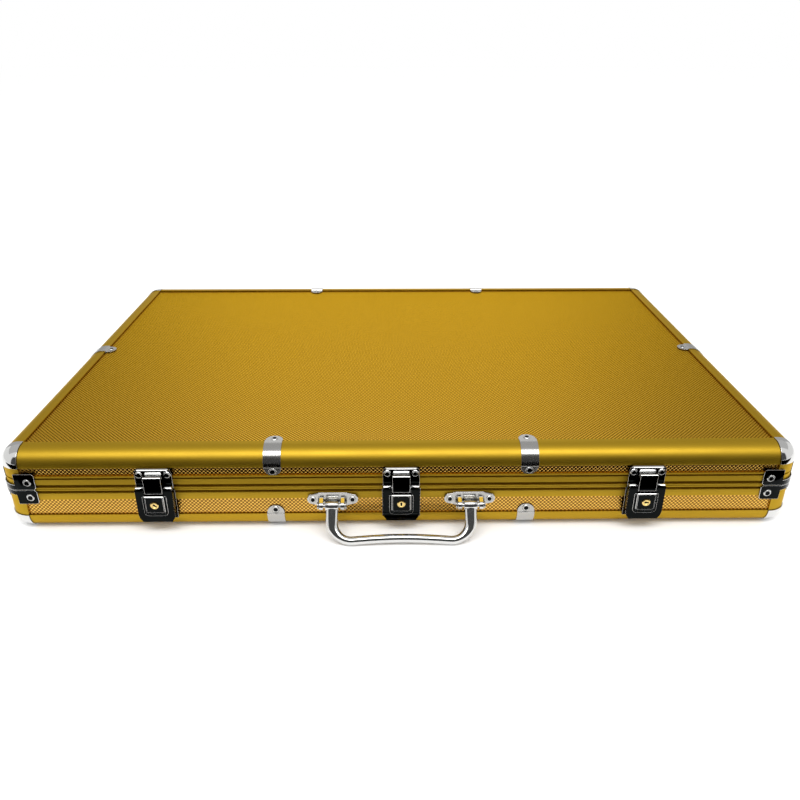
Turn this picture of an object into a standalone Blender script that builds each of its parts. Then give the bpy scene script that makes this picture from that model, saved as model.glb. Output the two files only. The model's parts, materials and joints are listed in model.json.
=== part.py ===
"""Poker chip case: a flat aluminium-look case in two halves, latched in front and hinged behind.

Metres, +Z up, front at -Y, resting on the straps and corners of the base at z = 0.
Local sizes on a wall are given as depth in from the outer face and drop from the top or bottom face.
"""
import math

import bmesh
import bpy
from mathutils import Vector

# Overall
case_width = 0.570
case_depth = 0.384
case_height = 0.066
clearance = 0.0003
seam_share = 0.534848
strap_proud = 0.0007
merge_limit = 0.000001

# Rails, boards and straps
rail_round = 0.0128
rail_land = 0.0030
rail_skin = 0.0010
rail_lip = 0.0028
board_thick = 0.0040
strap_width = 0.0126
strap_tab_reach = 0.0237
strap_spacing_share = 0.15965
strap_bury = 0.0005
cap_thick = 0.0010

# Closing frames at the seam
frame_web = 0.0020
frame_arm_length = 0.0080
frame_groove = 0.0005
frame_lip = 0.00105
base_band_shares = (0.0943, 0.2148, 0.2583)
lid_band_shares = (0.1173, 0.2580, 0.3032, 0.3451)

# Seam brackets at the corners
bracket_reach = 0.0100
bracket_thick = 0.0010
bracket_top = 0.0128
bracket_foot = 0.0115
bracket_arm = 0.0040
bracket_chamfer = 0.0014

# Latches; heights are measured from the seam, and below it they are negative
latch_spacing_share = 0.30702
latch_plate_half = 0.0137
latch_plate_thick = 0.0009
latch_plate_foot = -0.0238
latch_plate_head = -0.0003
ear_inner = 0.0104
ear_thick = 0.0010
ear_root = 0.0070
ear_round = 0.0011
fulcrum_out = 0.0034
fulcrum_height = 0.0020
fulcrum_pin = 0.0007
fulcrum_hole = 0.0010
fulcrum_pin_half = 0.0128
lever_half = 0.0131
lever_thick = 0.0010
lever_front = 0.0059
lever_foot = -0.0243
lever_head = 0.0038
lever_shoulder = 0.0026
lever_shoulder_in = 0.0080
lever_notch_half = 0.0069
lever_notch_foot = -0.0025
lever_corner_in = 0.0028
lever_corner_up = 0.0062
skirt_back = 0.0023
skirt_foot = -0.0195
skirt_head = 0.0032
lug_inner = 0.0071
lug_thick = 0.0010
lug_foot = -0.0015
lug_head = 0.0010
hook_out = 0.0043
hook_height = -0.0001
hook_pin = 0.0006
hook_pin_half = 0.0079
hook_hole = 0.0009
hook_barrel = 0.0012
hook_half = 0.0063
hook_back = 0.0050
hook_front = 0.0060
hook_head = 0.0126
hook_flange_thick = 0.0010
claw_back = 0.0024
claw_front = 0.0034
claw_foot = 0.0108
keeper_half = 0.0131
keeper_foot = 0.0013
keeper_head = 0.0165
keeper_corner = 0.0030
keeper_catch_half = 0.0060
keeper_catch_foot = 0.0094
keeper_catch_head = 0.0105
keeper_catch_out = 0.0021
keeper_bump_foot = 0.0115
keeper_bump_head = 0.0145
keeper_bump_half = 0.0066
housing_half = 0.0066
housing_foot = -0.0163
housing_head = -0.0027
housing_front = 0.0073
lock_height = -0.0091
lock_hole = 0.0032
lock_radius = 0.0029
lock_front = 0.0076
lock_back = 0.0034
lock_slot_half = 0.0004
lock_slot_reach = 0.0018
lock_slot_deep = 0.0022
cam_half = 0.0012
cam_reach = 0.0050
cam_thick = 0.0010

# Handle; heights are measured from the seam
handle_out = 0.0057
handle_height = -0.0114
handle_leg = 0.0496
handle_reach = 0.0249
handle_rest_drop = 0.0202
handle_radius = 0.0035
handle_corner = 0.0140
handle_bow = 0.0015
eye_half = 0.0047
eye_radius = 0.0036
eye_hole = 0.0019
handle_pin = 0.0016
handle_bracket_centre = 0.0492
handle_bracket_half = 0.0185
handle_bracket_rise = 0.0059
handle_bracket_height = -0.0092
handle_bracket_thick = 0.0012
handle_bracket_tip = 0.0060
handle_lug_inner = 0.0404
handle_lug_outer = 0.0588
handle_lug_thick = 0.0031
handle_lug_round = 0.0032
handle_lug_foot = -0.0143
handle_lug_head = -0.0061
pin_head = 0.0026
pin_head_thick = 0.0010

# Hinges
hinge_spacing_share = 0.30702
hinge_out = 0.0032
hinge_barrel = 0.0022
hinge_pin = 0.0010
hinge_hole = 0.0013
hinge_half = 0.0225
hinge_knuckle = 0.0072
hinge_leaf_thick = 0.0010
hinge_leaf_reach = 0.0150
hinge_slot = 0.0026
hinge_edge = 0.0004
hinge_stop_reach = 0.0045
hinge_stop_drop = 0.0013

# Inside
tray_slack = 0.0014
tray_floor = 0.0012
tray_corner = 0.0085
chip_tray_share = 0.38116
chip_pitch_share = 0.19811
chip_channel_share = 0.47619
chip_channel_open = 0.0038
row_divider = 0.0100
row_end = 0.0030
centre_tray_rise = 0.0264
centre_tray_floor = 0.0044
card_well_share = 0.7295
well_shares = (0.21875, 0.18125, 0.30625, 0.075, 0.21875)
button_well_place = 1
well_wall = 0.0080
well_corner = 0.0040
pad_thick = 0.0094
pad_slack = 0.0006
pad_corner = 0.0080

# Looks: red, green, blue, roughness, metal
gold_shares = (0.62, 0.44, 0.06, 0.28, 1)
chrome_shares = (0.72, 0.73, 0.74, 0.12, 1)
board_shares = (0.50, 0.33, 0.08, 0.42, 1)
steel_shares = (0.55, 0.55, 0.56, 0.3, 1)
flock_shares = (0.02, 0.02, 0.022, 0.95, 0)
foam_shares = (0.03, 0.03, 0.032, 0.98, 0)

# Directions
front = (0, -1)
right = (1, 0)
rear = (0, 1)
left = (-1, 0)
corner_steps = 6
hole_sides = 12
tube_sides = 12
channel_sides = 28
bore_sides = 16
full_turn = 2 * math.pi
quarter_turn = math.pi / 2

# Derived
half_width = case_width / 2
seam_height = case_height * seam_share
half_depth = case_depth / 2
rail_inset = rail_round + rail_land
base_face = strap_proud
lid_face = case_height - strap_proud
base_seam = seam_height - clearance / 2
lid_seam = seam_height + clearance / 2
base_rise = base_seam - base_face
lid_rise = lid_face - lid_seam
base_band_from, base_band_to, base_band_end = (base_rise * share for share in base_band_shares)
lid_band_from, lid_band_to, lid_lip_from, lid_lip_to = (lid_rise * share for share in lid_band_shares)
board_recess = rail_skin + clearance
board_inset = rail_inset - rail_lip + clearance
wall_inner = board_recess + board_thick
slot_inner = wall_inner + clearance
arm_inner = slot_inner + rail_skin
rail_end = rail_inset + clearance
slot_floor_drop = slot_inner + slot_inner - clearance / 2
wall_edge_drop = slot_floor_drop + clearance
strap_spacing = case_width * strap_spacing_share
latch_spacing = case_width * latch_spacing_share
hinge_spacing = case_width * hinge_spacing_share
inside_width = case_width - 2 * (arm_inner + clearance)
tray_length = case_depth - 2 * (arm_inner + tray_slack)
tray_under = base_face + arm_inner + clearance
chip_tray_width = inside_width * chip_tray_share
chip_pitch = chip_tray_width * chip_pitch_share
chip_channel = chip_pitch * chip_channel_share
chip_channel_height = tray_under + tray_floor + chip_channel
chip_tray_top = chip_channel_height - chip_channel_open
chip_row = (tray_length - row_divider) / 2 - row_end
chip_row_centre = (chip_row + row_divider) / 2
centre_tray_width = inside_width - 2 * (chip_tray_width + clearance)
card_well_width = centre_tray_width * card_well_share
wells_length = tray_length - well_wall * (len(well_shares) + 1)
pad_top = lid_face - arm_inner - clearance

for thing in list(bpy.data.objects):
    bpy.data.objects.remove(thing, do_unlink=True)


def material_for(look, name):
    """A Principled material of its own for one piece; a look is red, green, blue, roughness and metal."""
    material = bpy.data.materials.new(name)
    material.use_nodes = True
    shader = material.node_tree.nodes["Principled BSDF"]
    shader.inputs["Base Color"].default_value = (look[0], look[1], look[2], 1)
    shader.inputs["Roughness"].default_value = look[3]
    shader.inputs["Metallic"].default_value = look[4]
    return material


def close_mesh(mesh_data):
    """Weld, orient and triangulate a bmesh body."""
    bmesh.ops.remove_doubles(mesh_data, verts=mesh_data.verts, dist=merge_limit)
    bmesh.ops.recalc_face_normals(mesh_data, faces=mesh_data.faces)
    if mesh_data.calc_volume(signed=True) < 0:
        bmesh.ops.reverse_faces(mesh_data, faces=mesh_data.faces)


def solid(points, faces):
    """A temporary object from points and faces; points at one place are shared."""
    places = {}
    kept = []
    number = []
    for point in points:
        key = (round(point[0] / merge_limit), round(point[1] / merge_limit), round(point[2] / merge_limit))
        if key not in places:
            places[key] = len(kept)
            kept.append(point)
        number.append(places[key])
    body = bmesh.new()
    corners = [body.verts.new(point) for point in kept]
    for face in faces:
        ring = []
        for index in face:
            if number[index] not in ring:
                ring.append(number[index])
        if len(ring) > 2:
            body.faces.new([corners[index] for index in ring])
    close_mesh(body)
    mesh = bpy.data.meshes.new("body")
    body.to_mesh(mesh)
    body.free()
    thing = bpy.data.objects.new("body", mesh)
    bpy.context.scene.collection.objects.link(thing)
    return thing


def loft(sections, ring=False):
    """Skin through sections of equal point count; ends capped unless it closes on itself."""
    count = len(sections[0])
    points = [point for section in sections for point in section]
    faces = []
    spans = len(sections) if ring else len(sections) - 1
    for step in range(spans):
        here = step * count
        there = ((step + 1) % len(sections)) * count
        for index in range(count):
            after = (index + 1) % count
            faces.append((here + index, here + after, there + after, there + index))
    if not ring:
        faces.append(tuple(range(count)))
        last = (len(sections) - 1) * count
        faces.append(tuple(range(last, last + count)))
    return solid(points, faces)


def box(low, high):
    """A box between two corners."""
    plan = [(low[0], low[1]), (high[0], low[1]), (high[0], high[1]), (low[0], high[1])]
    return prism(plan, low[2], high[2])


def prism(plan, low, high):
    """An upright prism on a plan outline."""
    return loft([[(x, y, low) for x, y in plan], [(x, y, high) for x, y in plan]])


def side_prism(outline, low, high):
    """A prism along X on an outline of (y, z) points."""
    return loft([[(low, y, z) for y, z in outline], [(high, y, z) for y, z in outline]])


def face_prism(outline, low, high):
    """A prism along Y on an outline of (x, z) points."""
    return loft([[(x, low, z) for x, z in outline], [(x, high, z) for x, z in outline]])


def circle(centre_a, centre_b, radius, sides):
    """Points of a circle in any plane."""
    turn = full_turn / sides
    return [
        (centre_a + radius * math.cos((k + 0.5) * turn), centre_b + radius * math.sin((k + 0.5) * turn))
        for k in range(sides)
    ]


def merge(thing, others, operation="UNION"):
    """Join or cut with other bodies and bake the result."""
    for other in others:
        change = thing.modifiers.new("joined", "BOOLEAN")
        change.operation = operation
        change.solver = "EXACT"
        change.object = other
        graph = bpy.context.evaluated_depsgraph_get()
        mesh = bpy.data.meshes.new_from_object(thing.evaluated_get(graph))
        thing.modifiers.clear()
        thing.data = mesh
        bpy.data.objects.remove(other, do_unlink=True)
    body = bmesh.new()
    body.from_mesh(thing.data)
    bmesh.ops.remove_doubles(body, verts=body.verts, dist=merge_limit)
    bmesh.ops.dissolve_limit(body, angle_limit=math.radians(0.5), verts=body.verts, edges=body.edges)
    close_mesh(body)
    body.to_mesh(thing.data)
    body.free()
    return thing


def cut(thing, others):
    """Cut other bodies away."""
    return merge(thing, others, "DIFFERENCE")


def place(thing, name, look, origin=(0, 0, 0), lift=0):
    """Name a finished body, give it its material, lift it and put its origin on its joint."""
    body = bmesh.new()
    body.from_mesh(thing.data)
    bmesh.ops.triangulate(body, faces=body.faces, quad_method="BEAUTY", ngon_method="EAR_CLIP")
    bmesh.ops.dissolve_degenerate(body, dist=merge_limit, edges=body.edges)
    bmesh.ops.translate(body, vec=Vector((0, 0, lift)) - Vector(origin), verts=body.verts)
    body.to_mesh(thing.data)
    body.free()
    thing.name = name
    thing.data.name = name
    thing.location = origin
    thing.data.materials.clear()
    thing.data.materials.append(material_for(look, name))
    return thing


def on_side(side, along, inset, height):
    """World point on a side: along it from its middle, in from its outer face, at a height."""
    x = side[0] * (half_width - inset) - side[1] * along
    y = side[1] * (half_depth - inset) + side[0] * along
    return (x, y, height)


def half_length(side):
    """Half the length of the case face on a side."""
    return half_depth if side[0] else half_width


# The two halves: name, outer face, direction inward, seam edge
base = {"name": "base", "face": base_face, "inward": 1, "seam": base_seam}
lid = {"name": "lid", "face": lid_face, "inward": -1, "seam": lid_seam}
hinge_axis = (0, half_depth + hinge_out, seam_height)
base["origin"] = (0, 0, 0)
lid["origin"] = hinge_axis
sides = {"front": front, "right": right, "rear": rear, "left": left}


def drop(half, depth):
    """Height of a depth measured in from the outer face of a half."""
    return half["face"] + half["inward"] * depth


def from_seam(half, rise):
    """Height of a distance measured from the seam into a half."""
    return half["seam"] - half["inward"] * rise


def arc(centre_a, centre_b, radius, start, end, steps):
    """Points of an arc from one angle to another."""
    return [
        (
            centre_a + radius * math.cos(start + (end - start) * k / steps),
            centre_b + radius * math.sin(start + (end - start) * k / steps),
        )
        for k in range(steps + 1)
    ]


def rail_section():
    """Rail outline as (inset, drop): rounded skin outside, a slot for each board inside."""
    outline = [(rail_inset, 0)]
    round_points = arc(rail_round, rail_round, rail_round, -quarter_turn, -2 * quarter_turn, 8)
    outline += round_points
    outline += [
        (rail_skin, rail_round),
        (rail_skin, slot_floor_drop),
        (slot_inner, slot_floor_drop),
        (slot_inner, rail_round),
        (arm_inner, rail_round),
        (arm_inner, arm_inner),
        (rail_inset, arm_inner),
        (rail_inset, slot_inner),
        (rail_inset - rail_lip, slot_inner),
        (rail_inset - rail_lip, rail_skin),
        (rail_inset, rail_skin),
    ]
    return outline


def strap(half, side, along):
    """Clamping strap: round tab on the board, over the rail, round tab on the wall."""
    radius = strap_width / 2
    board_tab = strap_tab_reach - radius
    wall_tab = rail_round + clearance
    outer_flat = rail_skin - strap_proud
    tab_turns = [math.radians(angle) for angle in (20, 40, 60, 90)]
    stations = []
    for turn in tab_turns:
        reach = board_tab + radius * math.cos(turn)
        stations.append((reach, rail_skin, reach, outer_flat, radius * math.sin(turn)))
    stations.append((rail_end, rail_skin, rail_end, outer_flat, radius))
    stations.append((rail_inset - clearance, strap_bury, rail_inset - clearance, -strap_proud, radius))
    buried = rail_round - strap_bury
    inner = arc(rail_round, rail_round - clearance, buried, -quarter_turn, -2 * quarter_turn, 8)
    outer = arc(rail_round, rail_round, rail_round + strap_proud, -quarter_turn, -2 * quarter_turn, 8)
    for near, far in zip(inner, outer):
        stations.append((near[0], near[1], far[0], far[1], radius))
    for turn in reversed(tab_turns):
        reach = wall_tab + radius * math.cos(turn) + clearance
        stations.append((rail_skin, reach, outer_flat, reach, radius * math.sin(turn)))
    sections = []
    for near_in, near_drop, far_in, far_drop, half_strap in stations:
        sections.append(
            [
                on_side(side, along - half_strap, near_in, drop(half, near_drop)),
                on_side(side, along + half_strap, near_in, drop(half, near_drop)),
                on_side(side, along + half_strap, far_in, drop(half, far_drop)),
                on_side(side, along - half_strap, far_in, drop(half, far_drop)),
            ]
        )
    return loft(sections)


def build_rail(half, side_name):
    """One rail with its straps fixed on."""
    side = sides[side_name]
    length = half_length(side) - rail_end
    sections = []
    for along in (-length, length):
        sections.append([on_side(side, along, inset, drop(half, depth)) for inset, depth in rail_section()])
    rail = loft(sections)
    places = (0,) if side[0] else (-strap_spacing, strap_spacing)
    merge(rail, [strap(half, side, along) for along in places])
    place(rail, half["name"] + "_rail_" + side_name, gold_shares, half["origin"])


def corner_point(corner, radius, turn, height):
    """World point round a corner of the plan; turn runs from one side to the next."""
    x = corner[0] * (half_width - rail_inset) + radius * math.cos(turn)
    y = corner[1] * (half_depth - rail_inset) + radius * math.sin(turn)
    return (x, y, height)


corners = {"front_right": (1, -1), "rear_right": (1, 1), "rear_left": (-1, 1), "front_left": (-1, -1)}


def corner_turns(corner):
    """Angles of the stations round a corner, counterclockwise from above."""
    start = math.atan2(corner[1], corner[0]) - quarter_turn / 2
    return [start + quarter_turn * k / corner_steps for k in range(corner_steps + 1)]


def build_corner(half, name):
    """Rounded corner cap, a quarter turn of the rail's outer form."""
    corner = corners[name]
    outer = arc(rail_land, rail_round, rail_round + strap_proud, -quarter_turn, 0, 6)
    inner = arc(rail_land, rail_round, rail_round + strap_proud - cap_thick, 0, -quarter_turn, 6)
    outline = [(0, -strap_proud)] + outer + inner + [(0, cap_thick - strap_proud)]
    sections = []
    for turn in corner_turns(corner):
        sections.append([corner_point(corner, radius, turn, drop(half, depth)) for radius, depth in outline])
    place(loft(sections), half["name"] + "_corner_" + name, chrome_shares, half["origin"])


def ring_loft(straight, rounded):
    """A closed ring round the case: one outline along the sides, one round the corners."""
    sections = []
    for corner in corners.values():
        turns = corner_turns(corner)
        stations = [(turns[0], straight)]
        stations += [(turn, rounded) for turn in turns]
        stations += [(turns[-1], straight)]
        for turn, outline in stations:
            section = [corner_point(corner, rail_inset - inset, turn, height) for inset, height in outline]
            sections.append(section)
    return loft(sections, ring=True)


def build_frame(half):
    """Closing frame: grooved strip round the seam with an upright post at each corner."""
    to_cap = abs(half["seam"] - drop(half, rail_round + clearance))
    if half is base:
        strip = [
            (0, 0), (0, frame_lip), (frame_groove, frame_lip), (frame_groove, base_band_from),
            (0, base_band_from),
            (0, base_band_to), (frame_groove, base_band_end), (rail_skin, base_band_end),
        ]
        post = [
            (0, 0), (0, frame_lip), (0, frame_lip), (0, base_band_from), (0, base_band_from),
            (0, base_band_to), (0, to_cap), (rail_skin, to_cap),
        ]
        end = base_band_end
    else:
        strip = [
            (0, 0), (0, frame_lip), (frame_groove, frame_lip), (frame_groove, lid_band_from),
            (0, lid_band_from),
            (0, lid_band_to), (frame_groove, lid_band_to), (frame_groove, lid_lip_from), (0, lid_lip_from),
            (0, lid_lip_to), (rail_skin, lid_lip_to),
        ]
        post = [
            (0, 0), (0, frame_lip), (0, frame_lip), (0, lid_band_from), (0, lid_band_from),
            (0, lid_band_to), (0, lid_band_to), (0, lid_lip_from), (0, lid_lip_from),
            (0, to_cap), (rail_skin, to_cap),
        ]
        end = lid_lip_to
    inside = [
        (rail_skin, end), (rail_skin, frame_web), (slot_inner, frame_web),
        (slot_inner, frame_arm_length), (arm_inner, frame_arm_length), (arm_inner, 0),
    ]
    straight = [(inset, from_seam(half, rise)) for inset, rise in strip + inside]
    rounded = [(inset, from_seam(half, rise)) for inset, rise in post + inside]
    place(ring_loft(straight, rounded), half["name"] + "_frame", gold_shares, half["origin"])


def build_walls(half):
    """Ring of wall boards between the rails and the closing frame."""
    far = drop(half, wall_edge_drop)
    near = from_seam(half, frame_web + clearance)
    outline = [(board_recess, far), (wall_inner, far), (wall_inner, near), (board_recess, near)]
    place(ring_loft(outline, outline), half["name"] + "_walls", board_shares, half["origin"])


def build_panel(half):
    """Flat board held in the slots of the four rails."""
    x = half_width - board_inset
    y = half_depth - board_inset
    heights = sorted((drop(half, board_recess), drop(half, wall_inner)))
    name = "base_bottom_board" if half is base else "lid_top_board"
    place(box((-x, -y, heights[0]), (x, y, heights[1])), name, board_shares, half["origin"])


def build_bracket(half, name):
    """Seam bracket: a plate on each side of a corner with a narrow arm round it."""
    corner = corners[name]
    tall = bracket_top if half is lid else bracket_foot
    turns = corner_turns(corner)

    def section(near, far, low_rise, high_rise):
        arm = bracket_arm
        rises = [low_rise, arm, high_rise, high_rise, arm, low_rise]
        return [
            (point[0], point[1], from_seam(half, rise))
            for point, rise in zip([near, near, near, far, far, far], rises)
        ]

    def pair(turn, shift):
        near = corner_point(corner, rail_inset + clearance, turn, 0)
        far = corner_point(corner, rail_inset + clearance + bracket_thick, turn, 0)
        dx = shift * math.sin(turn)
        dy = -shift * math.cos(turn)
        return (near[0] + dx, near[1] + dy), (far[0] + dx, far[1] + dy)

    seam_gap = clearance / 4
    ends = [(bracket_reach, bracket_chamfer), (bracket_reach - bracket_chamfer, 0)]
    sections = []
    for reach, shave in ends:
        near, far = pair(turns[0], reach)
        sections.append(section(near, far, seam_gap + shave, tall - shave))
    near, far = pair(turns[0], 0)
    sections.append(section(near, far, seam_gap, tall))
    near, far = pair(turns[1], 0)
    sections.append(section(near, far, seam_gap, tall))
    for turn in turns[1:-1]:
        near, far = pair(turn, 0)
        sections.append(section(near, far, seam_gap, bracket_arm))
    near, far = pair(turns[-2], 0)
    sections.append(section(near, far, seam_gap, tall))
    near, far = pair(turns[-1], 0)
    sections.append(section(near, far, seam_gap, tall))
    for reach, shave in reversed(ends):
        near, far = pair(turns[-1], -reach)
        sections.append(section(near, far, seam_gap + shave, tall - shave))
    place(loft(sections), half["name"] + "_bracket_" + name, chrome_shares, half["origin"])


def out(distance):
    """Y of a distance in front of the front face."""
    return -half_depth - distance


def plate_yz(points):
    """Turn (out, height) points into (y, z)."""
    return [(out(distance), height) for distance, height in points]


def disc_x(centre, radius, low, high, sides):
    """A round bar along X."""
    return side_prism(circle(centre[0], centre[1], radius, sides), low, high)


def build_latch(name, x):
    """One latch: base plate, lever with lock housing, hook, lock cylinder and keeper."""
    fulcrum = (out(fulcrum_out), fulcrum_height)
    hook_axis = (out(hook_out), hook_height)
    plate_back = out(clearance)
    plate_front = out(clearance + latch_plate_thick)

    plate = box(
        (x - latch_plate_half, plate_front, latch_plate_foot),
        (x + latch_plate_half, plate_back, latch_plate_head),
    )
    added = []
    for sign in (-1, 1):
        near = x + sign * ear_inner
        far = x + sign * (ear_inner + ear_thick)
        rounded = arc(fulcrum_out, fulcrum_height, ear_round, -quarter_turn, quarter_turn, 6)
        outline = [(clearance * 2, latch_plate_head - ear_root), (clearance + latch_plate_thick, -ear_root)]
        outline += rounded[1:] + [(fulcrum_out - ear_round * 3 / 4, fulcrum_height + ear_round / 2)]
        outline += [(clearance * 3, latch_plate_head), (clearance * 2, latch_plate_head)]
        added.append(side_prism(plate_yz(outline), min(near, far), max(near, far)))
    added.append(disc_x(fulcrum, fulcrum_pin, x - fulcrum_pin_half, x + fulcrum_pin_half, hole_sides))
    merge(plate, added)
    place(plate, "latch_plate_" + name, chrome_shares, lift=seam_height)

    outline = [
        (x - lever_half, lever_foot + lever_corner_up),
        (x - lever_half + lever_corner_in / 4, lever_foot + lever_corner_up / 2),
        (x - lever_half + lever_corner_in, lever_foot),
        (x + lever_half - lever_corner_in, lever_foot),
        (x + lever_half - lever_corner_in / 4, lever_foot + lever_corner_up / 2),
        (x + lever_half, lever_foot + lever_corner_up),
        (x + lever_half, lever_shoulder), (x + lever_shoulder_in, lever_head),
        (x + lever_notch_half, lever_head), (x + lever_notch_half, lever_notch_foot),
        (x - lever_notch_half, lever_notch_foot), (x - lever_notch_half, lever_head),
        (x - lever_shoulder_in, lever_head), (x - lever_half, lever_shoulder),
    ]
    lever = face_prism(outline, out(lever_front), out(lever_front - lever_thick))
    added = []
    for sign in (-1, 1):
        near = x + sign * (lever_half - lever_thick)
        far = x + sign * lever_half
        skirt = [
            (skirt_back, skirt_foot + lever_corner_up / 2), (lever_front - lever_thick / 2, skirt_foot),
            (lever_front - lever_thick / 2, lever_shoulder - clearance), (skirt_back, skirt_head - clearance),
        ]
        added.append(side_prism(plate_yz(skirt), min(near, far), max(near, far)))
        near = x + sign * lug_inner
        far = x + sign * (lug_inner + lug_thick)
        lug = [
            (fulcrum_out - clearance, lug_foot), (lever_front - lever_thick / 2, lug_foot),
            (lever_front - lever_thick / 2, lug_head), (fulcrum_out - clearance, lug_head),
        ]
        added.append(side_prism(plate_yz(lug), min(near, far), max(near, far)))
    added.append(
        box(
            (x - housing_half, out(housing_front), housing_foot),
            (x + housing_half, out(lever_front - lever_thick / 2), housing_head),
        )
    )
    merge(lever, added)
    holes = []
    for sign in (-1, 1):
        low = x + sign * lever_half - lever_thick * 2
        high = x + sign * lever_half + lever_thick * 2
        holes.append(disc_x(fulcrum, fulcrum_hole, low, high, hole_sides))
        centre = x + sign * (lug_inner + lug_thick / 2)
        holes.append(disc_x(hook_axis, hook_hole, centre - lug_thick, centre + lug_thick, hole_sides))
    bore = face_prism(circle(x, lock_height, lock_hole, bore_sides), out(housing_front * 2), out(0))
    cut(lever, holes + [bore])
    place(lever, "latch_lever_" + name, chrome_shares, (x, fulcrum[0], fulcrum[1] + seam_height), seam_height)

    hook_outline = [
        (hook_back, hook_height), (hook_front, hook_height), (hook_front, hook_head - clearance),
        (hook_front - clearance, hook_head), (claw_back, hook_head), (claw_back, claw_foot),
        (claw_front, claw_foot), (claw_front, hook_head - hook_flange_thick),
        (hook_back, hook_head - hook_flange_thick),
    ]
    hook = side_prism(plate_yz(hook_outline), x - hook_half, x + hook_half)
    barrel = disc_x(hook_axis, hook_barrel, x - hook_half, x + hook_half, hole_sides)
    pin = disc_x(hook_axis, hook_pin, x - hook_pin_half, x + hook_pin_half, hole_sides)
    merge(hook, [barrel, pin])
    origin = (x, hook_axis[0], hook_axis[1] + seam_height)
    place(hook, "latch_hook_" + name, chrome_shares, origin, seam_height)

    cylinder = face_prism(circle(x, lock_height, lock_radius, bore_sides), out(lock_front), out(lock_back))
    cam_low = out(lock_back)
    cam = box(
        (x - cam_half, cam_low, lock_height - cam_reach),
        (x + cam_half, cam_low + cam_thick, lock_height + lock_radius),
    )
    merge(cylinder, [cam])
    slot = box(
        (x - lock_slot_half, out(lock_front * 2), lock_height - lock_slot_reach),
        (x + lock_slot_half, out(lock_front - lock_slot_deep), lock_height + lock_slot_half),
    )
    cut(cylinder, [slot])
    origin = (x, out(lock_front), lock_height + seam_height)
    place(cylinder, "latch_lock_" + name, steel_shares, origin, seam_height)

    outline = [
        (x - keeper_half, keeper_foot), (x + keeper_half, keeper_foot),
        (x + keeper_half, keeper_head - keeper_corner),
        (x + keeper_half - keeper_corner / 3, keeper_head - keeper_corner / 3),
        (x + keeper_half - keeper_corner, keeper_head), (x - keeper_half + keeper_corner, keeper_head),
        (x - keeper_half + keeper_corner / 3, keeper_head - keeper_corner / 3),
        (x - keeper_half, keeper_head - keeper_corner),
    ]
    keeper = face_prism(outline, plate_front, plate_back)
    catch = box(
        (x - keeper_catch_half, out(keeper_catch_out), keeper_catch_foot),
        (x + keeper_catch_half, out(clearance * 2), keeper_catch_head),
    )
    bump = box(
        (x - keeper_bump_half, out(keeper_catch_out), keeper_bump_foot),
        (x + keeper_bump_half, out(clearance * 2), keeper_bump_head),
    )
    merge(keeper, [catch, bump])
    place(keeper, "latch_keeper_" + name, chrome_shares, lid["origin"], seam_height)


def headed_pin(centre, radius, head, head_thick, low, high):
    """A pin along X with a flat head past each end."""
    profile = [
        (low - head_thick, head), (low, head), (low, radius),
        (high, radius), (high, head), (high + head_thick, head),
    ]
    sections = []
    for x, size in profile:
        sections.append([(x, y, z) for y, z in circle(centre[0], centre[1], size, hole_sides)])
    return loft(sections)


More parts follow.
